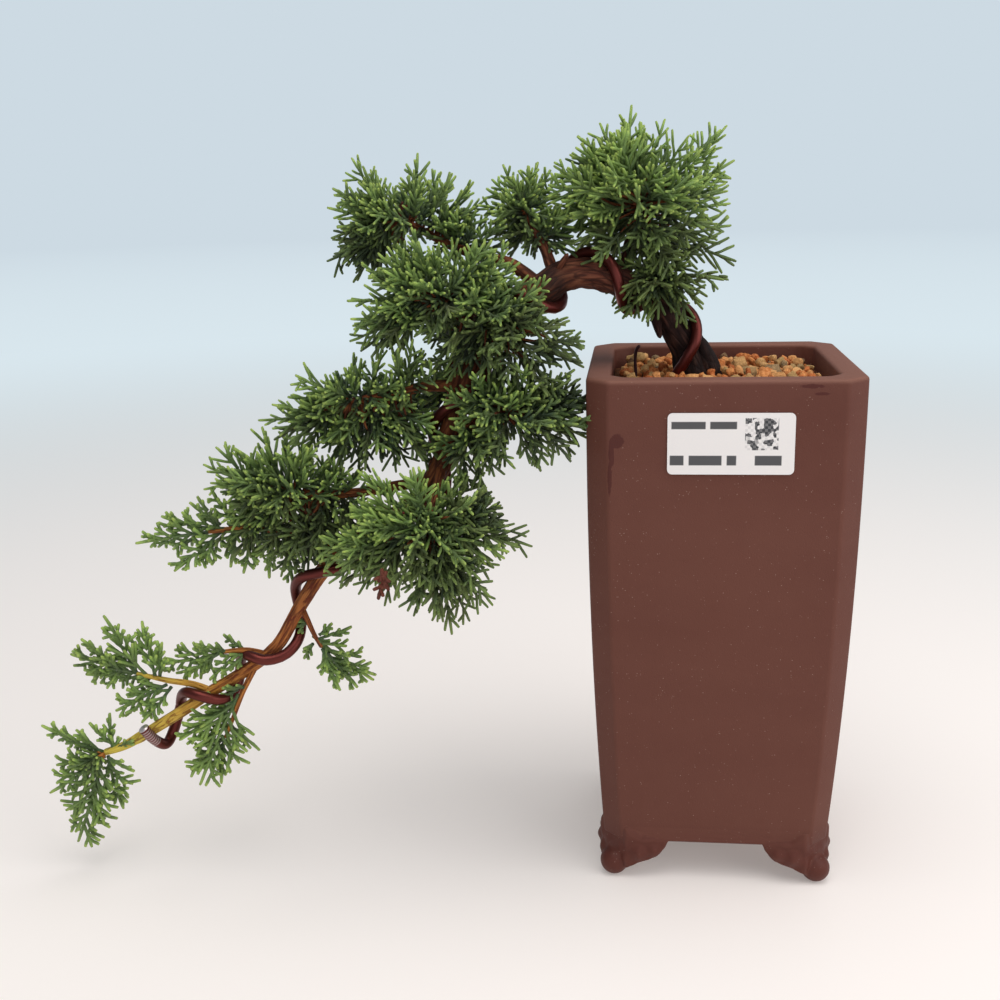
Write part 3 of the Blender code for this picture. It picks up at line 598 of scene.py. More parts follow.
def potBody():
    half, low = potShape["topHalf"], potShape["underside"]
    bm = cornerPrism(low, rimTop, potShape["rimCut"], half)
    roundOff(bm, uprightEdges(bm, 0.1), potShape["arris"], 4)
    rims = [e for e in bm.edges if e.verts[0].co.z > rimTop - 1e-6 and e.verts[1].co.z > rimTop - 1e-6
            and e.is_boundary is False and len({round(f.normal.z, 2) for f in e.link_faces}) > 1]
    roundOff(bm, rims, potShape["rimRound"], 5)
    base = [e for e in bm.edges if e.verts[0].co.z < low + 1e-6 and e.verts[1].co.z < low + 1e-6]
    roundOff(bm, base, potShape["baseRound"], 3)
    cutAcross(bm, [low + (rimTop - low) * band / potShape["bands"] for band in range(1, potShape["bands"])])
    for vert in bm.verts:
        scale = potHalf(vert.co.z) / half
        vert.co.x *= scale
        vert.co.y *= scale
    return looseObject("potBody", bm)


def potHollow():
    half = potShape["topHalf"] - potShape["wall"]
    bm = cornerPrism(potShape["floor"], rimTop + 4 * mm, potShape["innerCut"], half)
    roundOff(bm, uprightEdges(bm, 0.1), potShape["innerRound"], 5)
    rimRound = potShape["rimRound"]
    cutAcross(bm, [rimTop - rimRound * share for share in (0.0, 0.08, 0.3, 0.6, 1.0)])
    cutAcross(bm, [rimTop - down * mm for down in (12, 40, 80, 130)])
    for vert in bm.verts:
        reach = potHalf(vert.co.z) - potShape["wall"]
        fall = (vert.co.z - (rimTop - rimRound)) / rimRound
        if fall > 0:
            reach += rimRound * (1 - math.sqrt(max(1 - min(fall, 1) ** 2, 0)))
        vert.co.x *= reach / half
        vert.co.y *= reach / half
    return bm


footShape = {
    # the opening between two feet: how far aside and how high, from the underside down to the toe
    "arch": [(21.0, 18.6), (22.0, 15.6), (23.6, 12.6), (26.0, 10.4), (29.0, 8.9), (32.4, 7.7), (35.4, 6.6),
             (38.6, 5.1), (41.6, 3.2), (44.0, 1.0), (46.6, -3.0)],
    "proud": 1.7 * mm, "chamfer": 1.6 * mm, "depth": 10 * mm, "top": 25.5 * mm, "voxel": 0.5 * mm,
    # the round toe, in millimetres, the strokes that smooth the clay, and where its bosses start
    "toe": 44.4, "toeHigh": 5.9, "toeRound": 6.4, "gap": 19, "strokes": 8, "plain": 7,
    # by how far aside: how high the clay climbs, and how much it thins; then how it fades into the wall
    "climb": ((33, 40), (19, 25)), "thin": ((21, 30), (1.3, 0)), "fade": 4, "sink": 3.4,
    # round bosses: how far aside, how high, how wide and how proud, all in millimetres
    "bosses": [(33.6, 12.6, 3.6, 1.7), (27.4, 13.8, 2.8, 1.4), (39.2, 9.6, 3.0, 0.9)],
    "cornerBosses": [(2.4, 14.4, 3.2, 0.5), (-2.4, 14.4, 3.2, 0.5)],
}


def footBulge(point):
    # how far the clay stands out at a point, from its pressed bosses and curls
    x, y, z = abs(point.x) / mm, abs(point.y) / mm, point.z / mm
    lift = 0.0
    onFace = max(x, y) - (potShape["baseHalf"] / mm) > -3 and min(x, y) < 41
    onCorner = (x + y) / math.sqrt(2) > 60
    across = (x - y) / math.sqrt(2)
    for key, here, aside in (("bosses", onFace, min(x, y)), ("cornerBosses", onCorner, across)):
        for centre, high, wide, proud in footShape[key] if here else ():
            gap = math.hypot(aside - centre, z - high) / wide
            lift += proud * (math.exp(-gap ** 2 * 1.6) - 0.35 * math.exp(-(gap - 1.35) ** 2 * 8))
    return lift * mm


def extruded(outline, length):
    # an upright outline of aside and height in millimetres, drawn out both ways along y
    bm = bmesh.new()
    verts = [bm.verts.new((x * mm, -length / 2, z * mm)) for x, z in outline]
    face = bm.faces.new(verts)
    grown = bmesh.ops.extrude_face_region(bm, geom=[face])["geom"]
    bmesh.ops.translate(bm, vec=(0, length, 0), verts=[v for v in grown if isinstance(v, bmesh.types.BMVert)])
    bmesh.ops.recalc_face_normals(bm, faces=bm.faces)
    return bm


def potFeet():
    # a skirt under the pot, cut into four bracket feet, then softened and pressed like clay
    half = potShape["baseHalf"] + footShape["proud"]
    skirt = cornerPrism(0, footShape["top"], potShape["baseCut"] + footShape["chamfer"], half)
    feet = looseObject("potFeet", skirt)
    coreTop = potShape["underside"] + 1.5 * mm
    core = cornerPrism(-5 * mm, coreTop, potShape["baseCut"], half - footShape["depth"])
    joined(feet, core, "DIFFERENCE")
    arch = footShape["arch"]
    outline = arch + [(-x, z) for x, z in reversed(arch)]
    for quarter in (0, 1):
        bm = extruded(outline, 0.3)
        quarterTurns(bm, quarter)
        joined(feet, bm, "DIFFERENCE")
    for quarter in range(4):
        bm = bmesh.new()
        bmesh.ops.create_uvsphere(bm, u_segments=24, v_segments=16, radius=footShape["toeRound"] * mm)
        toe = (footShape["toe"] * mm, footShape["toe"] * mm, footShape["toeHigh"] * mm)
        bmesh.ops.translate(bm, vec=toe, verts=bm.verts)
        quarterTurns(bm, quarter)
        joined(feet, bm, "UNION")
    remesh = feet.modifiers.new("clay", "REMESH")
    remesh.mode = "VOXEL"
    remesh.voxel_size = footShape["voxel"]
    soft = feet.modifiers.new("soft", "SMOOTH")
    soft.factor = 0.5
    soft.iterations = 10
    mesh = evaluated(feet)
    bpy.data.objects.remove(feet)
    bm = bmesh.new()
    bm.from_mesh(mesh)
    gap = footShape["gap"] * mm
    inner = [f for f in bm.faces if min(abs(f.calc_center_median().x), abs(f.calc_center_median().y)) < gap]
    bmesh.ops.delete(bm, geom=inner, context="FACES")
    bmesh.ops.holes_fill(bm, edges=[e for e in bm.edges if e.is_boundary], sides=0)
    bm.normal_update()
    lifts = [(vert, footBulge(vert.co), vert.normal.copy()) for vert in bm.verts]
    pressed = []
    for vert, lift, normal in lifts:
        outer = max(abs(vert.co.x), abs(vert.co.y)) > potShape["baseHalf"] - 2.5 * mm
        corner = abs(vert.co.x) + abs(vert.co.y) > 2 * potShape["baseHalf"] - potShape["baseCut"] - 2 * mm
        if not (outer or corner):
            continue
        if vert.co.z > footShape["plain"] * mm:
            vert.co += normal * lift
        # the wings end flush with the underside, and only the corner climbs the wall
        aside = min(abs(vert.co.x), abs(vert.co.y)) / mm
        ceiling = np.interp(aside, *footShape["climb"]) * mm
        sink = np.interp(vert.co.z, (ceiling, ceiling + footShape["fade"] * mm), (0, footShape["sink"] * mm))
        thin = np.interp(aside, *footShape["thin"]) * mm
        shrink = 1 - (sink + thin) / max(abs(vert.co.x), abs(vert.co.y))
        vert.co = (vert.co.x * shrink, vert.co.y * shrink, max(vert.co.z, 0.0))
        pressed.append(vert)
    for stroke in range(footShape["strokes"]):
        bmesh.ops.smooth_vert(bm, verts=pressed, factor=0.5,
                              use_axis_x=True, use_axis_y=True, use_axis_z=True)
    for vert in bm.verts:
        vert.co.z = max(vert.co.z, 0.0)
    return bm


def joined(target, bm, operation):
    # cuts a bmesh's shape out of an object, or adds it
    tool = looseObject("tool", bm)
    modifier = target.modifiers.new("join", "BOOLEAN")
    modifier.operation = operation
    modifier.solver = "EXACT"
    modifier.object = tool
    mesh = evaluated(target)
    target.modifiers.clear()
    target.data = mesh
    bpy.data.objects.remove(tool)


print("pot")
body = potBody()
joined(body, potHollow(), "DIFFERENCE")
bm = bmesh.new()
bmesh.ops.create_cone(bm, cap_ends=True, segments=48, radius1=potShape["drain"], radius2=potShape["drain"],
                      depth=20 * mm)
bmesh.ops.translate(bm, vec=(0, 0, 23 * mm), verts=bm.verts)
joined(body, bm, "DIFFERENCE")
joined(body, potFeet(), "UNION")
potMesh = body.data
bpy.data.objects.remove(body)
bm = bmesh.new()
bm.from_mesh(potMesh)
bmesh.ops.remove_doubles(bm, verts=bm.verts, dist=2e-6)
bmesh.ops.translate(bm, vec=potMiddle, verts=bm.verts)
wearAndSheenLayer = bm.verts.layers.float.new("worn")
bm.normal_update()
# paler at sharp edges: wear above the feet, and on the feet a painted highlight on their pressed relief
for vert in bm.verts:
    tight = max((e.calc_face_angle(0) for e in vert.link_edges), default=0)
    spread = 0.5 + 0.5 * noise.noise(vert.co * 60)
    vert[wearAndSheenLayer] = min(tight / 0.35, 1) * spread if vert.co.z > 26 * mm else min(tight / 0.5, 1) * 0.35
bm.to_mesh(potMesh)
bm.free()
potMesh.shade_smooth()
potMesh.set_sharp_from_angle(angle=math.radians(42))
meshObject("claypot", potMesh, clay, "clay", "pot")

keptNodes = {
    "label": labelMaterial, "soil": soilMaterial, "drainage_layer": pumiceMaterial,
    "drainage_mesh": plasticMaterial, "mesh_clip": clipMaterial,
}
for nodeName, made in keptNodes.items():
    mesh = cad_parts[nodeName].data
    mesh.materials.clear()
    mesh.materials.append(made())


# Wood

trunkLine = [
    (-6, 4, -30, 5.0), (-7, 4, -16, 8.5), (-9, 3, -2, 10.2), (-11.5, 2.5, 7, 8.2), (-14, 2, 15, 6.9),
    (-20.5, -1, 26, 6.1), (-27, -4, 35, 6.0), (-42, -8, 44, 6.0), (-56, -12, 49, 5.9), (-67, -15, 48, 6.4),
    (-75, -18, 43, 6.8), (-86, -20, 38, 6.1), (-95, -23, 30, 5.6), (-104, -25, 17, 5.3),
    (-110, -27, 3, 5.1), (-114, -30, -14, 4.9), (-118, -33, -28, 4.7), (-128, -36, -43, 4.4),
    (-145, -38, -56, 4.0), (-163, -41, -66, 3.6), (-172, -42, -76, 3.4), (-179, -43, -86, 3.2),
    (-185, -44, -96, 3.0), (-194, -46, -110, 2.9), (-209, -49, -121, 2.8), (-223, -52, -129, 2.7),
    (-237, -55, -138, 2.6), (-252, -58, -147, 2.4), (-263, -60, -153, 2.0), (-272, -61, -156, 1.4),
]
branchLines = {
    # each foliage pad's branch has its name
    "apex": [(-29, -5, 39, 4.2), (-27, -2, 50, 3.6), (-31, 0, 62, 3.0), (-35, -2, 76, 2.0)],
    "apexBack": [(-42, -8, 45, 3.4), (-41, 2, 54, 2.8), (-38, 10, 66, 2.0)],
    "upper_small": [(-70, -16, 47, 3.6), (-74, -12, 58, 3.0), (-79, -9, 66, 2.2), (-83, -8, 74, 1.6)],
    "upper_left": [(-75, -18, 43, 4.4), (-87, -20, 53, 3.8), (-101, -18, 57, 3.2), (-117, -16, 63, 2.4),
                  (-133, -15, 72, 1.6)],
    "centre": [(-95, -23, 30, 3.8), (-104, -28, 36, 3.0), (-114, -31, 40, 2.0)],
    "back": [(-109, -26, 8, 3.8), (-110, -12, 12, 3.0), (-109, 4, 18, 2.0)],
    "mid_left": [(-110, -27, 3, 3.8), (-124, -31, 4, 3.2), (-140, -35, 1, 2.6), (-156, -38, -1, 1.8)],
    "right": [(-114, -30, -14, 3.6), (-104, -36, -10, 3.0), (-92, -39, -4, 2.0)],
    "lower_front": [(-118, -33, -28, 3.6), (-119, -46, -38, 3.0), (-121, -60, -50, 2.0)],
    "left": [(-122, -34, -36, 3.6), (-137, -37, -38, 3.2), (-160, -40, -41, 2.6), (-184, -42, -40, 1.8)],
    "left_spray": [(-163, -41, -66, 3.0), (-180, -42, -60, 2.4), (-200, -42, -56, 1.9),
                   (-222, -42, -58, 1.4)],
    "tail_right": [(-182, -43, -92, 2.0), (-179, -46, -96, 1.7), (-176, -46, -104, 1.4),
                   (-173, -46, -110, 1.2)],
    "tail_upper": [(-223, -52, -129, 2.2), (-231, -54, -125, 2.0), (-242, -55, -123, 1.7),
                   (-256, -55, -120, 1.3)],
    "tail_small": [(-198, -47, -113, 1.9), (-206, -50, -110, 1.7), (-217, -50, -111, 1.3)],
    "tail_lower": [(-203, -48, -118, 2.0), (-208, -53, -128, 1.7), (-213, -54, -140, 1.4),
                   (-218, -54, -151, 1.1)],
}
snagLines = {
    "underSnag": [(-27, -4, 36, 3.6), (-27, -6, 28, 2.6), (-25.5, -6, 20, 0.6)],
    "baseFlake": [(-3, 3, -6, 5.8), (-4, 1, 5, 5.2), (-6.5, 0, 13, 4.0), (-9, -1, 19, 2.4),
                  (-9.5, -1.5, 23.5, 0.6)],
    "knuckleStub": [(-69, -18, 50, 2.2), (-66, -21, 55, 1.3), (-64, -22, 58, 0.6)],
}
barkShape = {
    "trunkSides": 48, "trunkStep": 0.8, "fibre": 0.05, "lobe": 0.12,
    "branchSides": 18, "branchStep": 1.1, "branchFibre": 0.08, "branchLobe": 0.1, "slim": 0.72,
}


def barkRelief(seed, depth, lobes):
    # fibres and flutes that follow the stem; gives how far out, and how much of a ridge
    def relief(angle, ahead):
        across, up = math.cos(angle), math.sin(angle)
        s = ahead / mm
        lobe = noise.noise(Vector((across * 0.9 + seed, up * 0.9, s * 0.022)))
        fibre = noise.noise(Vector((across * 3.4, up * 3.4 + seed, s * 0.06)))
        fine = noise.noise(Vector((across * 8.0 + seed, up * 8.0, s * 0.16)))
        knot = noise.noise(Vector((across * 1.6, up * 1.6, s * 0.14 + seed)))
        ridge = 1 - abs(fibre) * 2.2
        lift = lobes * lobe + depth * (ridge - 0.5) + depth * 0.45 * fine + 0.09 * max(knot - 0.25, 0) * 3
        return lift, min(max(0.5 + 0.55 * (ridge - 0.5) + 0.35 * fine, 0), 1)
    return relief


def stationsOf(points, step):
    return [(drawn(x, y, z), radius * mm) for x, y, z, radius in smoothCurve(points, step)]


print("wood")
wood = newSleeves("age", "char")
trunkStations = stationsOf(trunkLine, barkShape["trunkStep"])


woodAges = {"left": (-50, 12, 26, 50, 100, 165, 212, 258), "age": (0, 0.04, 0.16, 0.3, 0.4, 0.52, 0.66, 1)}


def ageAt(x):
    # older and darker near the pot, gold near the tail's end, by distance left of the pot
    return np.interp(-(x - potMiddle.x) / mm, woodAges["left"], woodAges["age"])


def trunkExtras(row, rows, ahead):
    place = trunkStations[row][0]
    # near-black around the knuckle, where the branches meet the trunk
    knuckleDarkening = math.exp(-((place - drawn(-71, -18, 46)).length / (7 * mm)) ** 2)
    return {"age": ageAt(place.x), "char": knuckleDarkening * 0.9}


relief = barkRelief(0.0, barkShape["fibre"], barkShape["lobe"])
addSleeve(wood, trunkStations, barkShape["trunkSides"], relief, trunkExtras)
for number, (name, points) in enumerate({**branchLines, **snagLines}.items()):
    slim = 1.0 if name in snagLines else barkShape["slim"]
    stations = [(place, radius * slim) for place, radius in stationsOf(points, barkShape["branchStep"])]
    relief = barkRelief(3.7 * number + 5, barkShape["branchFibre"], barkShape["branchLobe"])
    addSleeve(wood, stations, barkShape["branchSides"], relief,
              lambda row, rows, ahead: {"age": ageAt(stations[row][0].x)})
sleeveObject(wood, "trunkwood", bark, "bark", "trunk")


# Training wire

wireShape = {
    # where the wire crosses the stem's front, in millimetres along it from the soil
    "crossings": [-57, 15, 62, 103, 158, 212, 256, 305, 336, 370], "lastTurn": 8.5,
    "radius": 2.4, "standOff": 0.3, "slack": 0.8, "sides": 20, "step": 1.2, "fineStep": 0.3,
    "grooves": 8, "groovePitch": 1.15, "grooveDeep": 0.09,
    # the bent end that hooks round under the stem, after the last whole turn
    "hook": [(-243.5, -50, -150), (-245.5, -55, -154), (-248.5, -60.5, -149), (-251.5, -63.5, -142.5)],
}


def wireStations():
    line = smoothCurve(trunkLine, 2)
    lengths = [0.0]
    for a, b in zip(line, line[1:]):
        lengths.append(lengths[-1] + math.dist(a[:3], b[:3]))
    soilAt = next(s for s, point in zip(lengths, line) if point[2] > 0)
    crossings = [soilAt + value for value in wireShape["crossings"]]
    places = [Vector(point[:3]) for point in line]
    stations = []
    s = soilAt - 2
    end = crossings[-1]
    i = 0
    while s < end:
        while lengths[i + 1] < s:
            i += 1
        t = (s - lengths[i]) / (lengths[i + 1] - lengths[i])
        point = places[i].lerp(places[i + 1], t)
        along = (places[min(i + 3, len(places) - 1)] - places[max(i - 2, 0)]).normalized()
        turn = np.interp(s, crossings, range(len(crossings)))
        if turn > wireShape["lastTurn"]:
            break
        front = Vector((0, -1, 0))
        front = (front - along * front.dot(along)).normalized()
        arm = Matrix.Rotation(2 * math.pi * turn, 3, along) @ front
        radius = line[i][3] + (line[i + 1][3] - line[i][3]) * t
        reach = radius + wireShape["radius"] + wireShape["standOff"] + wireShape["slack"] * s / end
        stations.append((*(point + arm * reach), wireShape["radius"]))
        s += wireShape["step"]
    hook = [(*point, wireShape["radius"]) for point in wireShape["hook"]]
    bend = smoothCurve(stations[-2:] + hook, wireShape["fineStep"])
    foot = stations[0]
    anchor = [(foot[0], foot[1], foot[2] - depth, foot[3]) for depth in (12, 6)]
    return [(drawn(*point[:3]), point[3] * mm) for point in anchor + stations[:-2] + bend]


print("wires")
wire = newSleeves("cut")
stations = wireStations()
wireLength = sum((b[0] - a[0]).length for a, b in zip(stations, stations[1:]))


def grooveAt(ahead):
    # how deep in a plier groove a place along the wire is
    back = (wireLength - ahead) / mm
    if not 1.0 < back < 1.0 + wireShape["grooves"] * wireShape["groovePitch"]:
        return 0.0
    return (0.5 - 0.5 * math.cos(2 * math.pi * (back - 1.0) / wireShape["groovePitch"])) ** 2


def wireRelief(angle, ahead):
    return -wireShape["grooveDeep"] * grooveAt(ahead), 0.5


def wireExtras(row, rows, ahead):
    return {"cut": 1.0 if row >= rows - 1 else 0.65 * grooveAt(ahead)}


addSleeve(wire, stations, wireShape["sides"], wireRelief, extras=wireExtras)
sleeveObject(wire, "trainingwire", maroonWire, "training_wire", "trunk_wire")

tie = newSleeves("cut")
tieShape = {"sides": 12, "step": 0.6, "radius": 0.7,
            "route": [(-36, -6, -6), (-36, -6, 4), (-36.2, -6.2, 12), (-35.4, -6.8, 16), (-34, -7, 17.2)]}
tiePoints = [(*point, tieShape["radius"]) for point in tieShape["route"]]
addSleeve(tie, stationsOf(tiePoints, tieShape["step"]), tieShape["sides"])
sleeveObject(tie, "tiewire", darkWire, "tie_wire", "tie_wire")


# Foliage

shootShape = {"sides": 5, "radius": 0.64, "levels": (0, 0.02, 0.3, 0.6, 0.93, 0.985, 1), "crowd": 1.75}


def shootTemplate():
    # one scaly shoot, standing on the origin, one unit long and one unit in radius
    bm = bmesh.new()
    sides, levels = shootShape["sides"], shootShape["levels"]
    rings = len(levels) - 1
    bm.loops.layers.uv.new("UVMap")
    made = bmesh.ops.create_grid(bm, x_segments=sides, y_segments=rings, size=0.5, calc_uvs=True)["verts"]
    for vert in made:
        column = round((vert.co.x + 0.5) * sides)
        row = round((vert.co.y + 0.5) * rings)
        reach = 0.9 + 0.16 * (row % 2)
        if row == rings - 1:
            reach = 0.72
        if row in (0, rings):
            reach = 0.01
        angle = 2 * math.pi * (column + 0.5 * (row % 2)) / sides
        vert.co = (reach * math.cos(angle), reach * math.sin(angle), levels[row])
    bmesh.ops.remove_doubles(bm, verts=bm.verts, dist=0.012)
    bmesh.ops.recalc_face_normals(bm, faces=bm.faces)
    return finished(bm, "shoot")


def stampMesh(name, template, shoots):
    # many bent copies of one template in a single mesh
    count = len(template.vertices)
    rest = np.empty(count * 3, np.float32)
    template.vertices.foreach_get("co", rest)
    rest = rest.reshape(count, 3)
    corners = np.empty(len(template.loops), np.int32)
    template.loops.foreach_get("vertex_index", corners)
    starts = np.empty(len(template.polygons), np.int32)
    template.polygons.foreach_get("loop_start", starts)
    uvs = np.empty(len(template.loops) * 2, np.float32)
    template.uv_layers[0].uv.foreach_get("vector", uvs)

    def gathered(key):
        # one value or vector of every shoot, as a row for each shoot
        return np.array([shoot[key] for shoot in shoots]).reshape(len(shoots), 1, -1)

    along, side, length = gathered("along"), gathered("side"), gathered("length")
    over, across, up = (rest[None, :, axis:axis + 1] for axis in range(3))
    points = gathered("base") + along * length * up + gathered("bend") * length * up ** 2
    points = points + (side * over + np.cross(along, side) * across) * gathered("radius") * (1.06 - 0.1 * up)
    total = len(shoots)
    mesh = bpy.data.meshes.new(name)
    mesh.vertices.add(total * count)
    mesh.vertices.foreach_set("co", points.astype(np.float32).ravel())
    shift = np.arange(total, dtype=np.int32)[:, None]
    mesh.loops.add(total * len(corners))
    mesh.loops.foreach_set("vertex_index", (corners[None, :] + shift * count).ravel())
    mesh.polygons.add(total * len(starts))
    mesh.polygons.foreach_set("loop_start", (starts[None, :] + shift * len(corners)).ravel())
    mesh.update(calc_edges=True)
    layer = mesh.uv_layers.new(name="UVMap")
    spread = np.tile(uvs.reshape(1, -1, 2), (total, 1, 1))
    spread[:, :, 1] = spread[:, :, 1] * length[:, :, 0] * 1000
    layer.uv.foreach_set("vector", spread.astype(np.float32).ravel())
    start = gathered("start")
    marks = {key: np.repeat(gathered(key), count) for key in ("tint", "young", "dead", "olive")}
    marks["along"] = (start + (gathered("finish") - start) * up).ravel()
    for key, values in marks.items():
        mesh.attributes.new(key, "FLOAT", "POINT").data.foreach_set("value", values.astype(np.float32))
    mesh.validate()
    mesh.shade_smooth()
    return mesh


def anyDirection(chooser):
    while True:
        vector = Vector((chooser.uniform(-1, 1), chooser.uniform(-1, 1), chooser.uniform(-1, 1)))
        if 0.1 < vector.length < 1:
            return vector.normalized()


def addShoot(shoots, chooser, base, along, length, size, start, finish, look, curl=0.12):
    along = along.normalized()
    side = along.cross(anyDirection(chooser)).normalized()
    bend = anyDirection(chooser) * 0.07 + Vector((0, 0, look["rise"])) * curl
    shoots.append({
        "base": base, "along": along, "side": side, "length": length * mm, "radius": size * mm, "bend": bend,
        "tint": min(max(look["tint"] + chooser.uniform(-0.22, 0.22), 0), 1),
        "young": look["young"] * chooser.uniform(0.4, 1), "dead": look["dead"], "olive": look["olive"],
        "start": start, "finish": finish})


sprayShape = {
    # side shoots: their share of the spray at its base, what that loses by its tip, least length, disorder
    "plain": (0.52, 0.3, 4.2, 0.75, 1.25), "forked": (0.4, 0.24, 3.2, 0.7, 1.2),
    "forkLengths": (4.5, 6.5, 10), "sideFork": 7,
}


def growSpray(shoots, chooser, base, tip, flatSide, look):
    # a branchlet from base to tip: a leading shoot, side shoots left and right, and short ones on those
    reach = tip - base
    total = reach.length / mm
    forward = reach.normalized()
    flatSide = (flatSide - forward * flatSide.dot(forward)).normalized()
    sag = Vector((0, 0, look["rise"])) * total * mm * 0.14

    def at(t):
        return base + reach * t + sag * (t * t - t)

    def lead(start, end, *rest):
        addShoot(shoots, chooser, start, end - start, (end - start).length / mm * 1.02, *rest)

    size = look["size"]
    share, fall, least, short, tall = sprayShape["forked" if look["forked"] else "plain"]
    middle = at(0.52)
    lead(base, middle, size * 0.95, 0.0, 0.5, look, 0.0)
    lead(middle, tip, size, 0.5, 1.0, look, 0.04)
    count = max(3, round(total / look["gap"]))
    for i in range(count):
        t = 0.1 + 0.74 * (i + chooser.uniform(-0.25, 0.25)) / count
        sign = 1 if i % 2 else -1
        roll = chooser.uniform(-look["loose"], look["loose"])
        outward = Matrix.Rotation(roll, 3, forward) @ flatSide * sign
        angle = math.radians(chooser.uniform(28, 52))
        direction = (forward * math.cos(angle) + outward * math.sin(angle)).normalized()
        length = max(total * (share - fall * t) * chooser.uniform(short, tall), least)
        root = at(t)
        addShoot(shoots, chooser, root, direction, length, size * 0.97, 0.1 + 0.4 * t, 1.0, look)
        spare = (outward - direction * outward.dot(direction)).normalized()
        if look["forked"]:
            forks = sum(length >= edge for edge in sprayShape["forkLengths"])
        else:
            forks = int(length > sprayShape["sideFork"] and chooser.random() < 0.5)
        for k in range(forks):
            u = 0.3 + 0.5 * (k + chooser.uniform(0.1, 0.5)) / forks
            turn = 1 if (k + i) % 2 else -1
            lean = Matrix.Rotation(chooser.uniform(-0.7, 0.7), 3, direction) @ spare
            way = direction * math.cos(0.68) + lean * math.sin(0.68) * turn
            addShoot(shoots, chooser, root + direction * length * u * mm, way,
                     chooser.uniform(0.4, 0.62) * length, size * 0.95, 0.35 + 0.3 * t, 1.0, look)


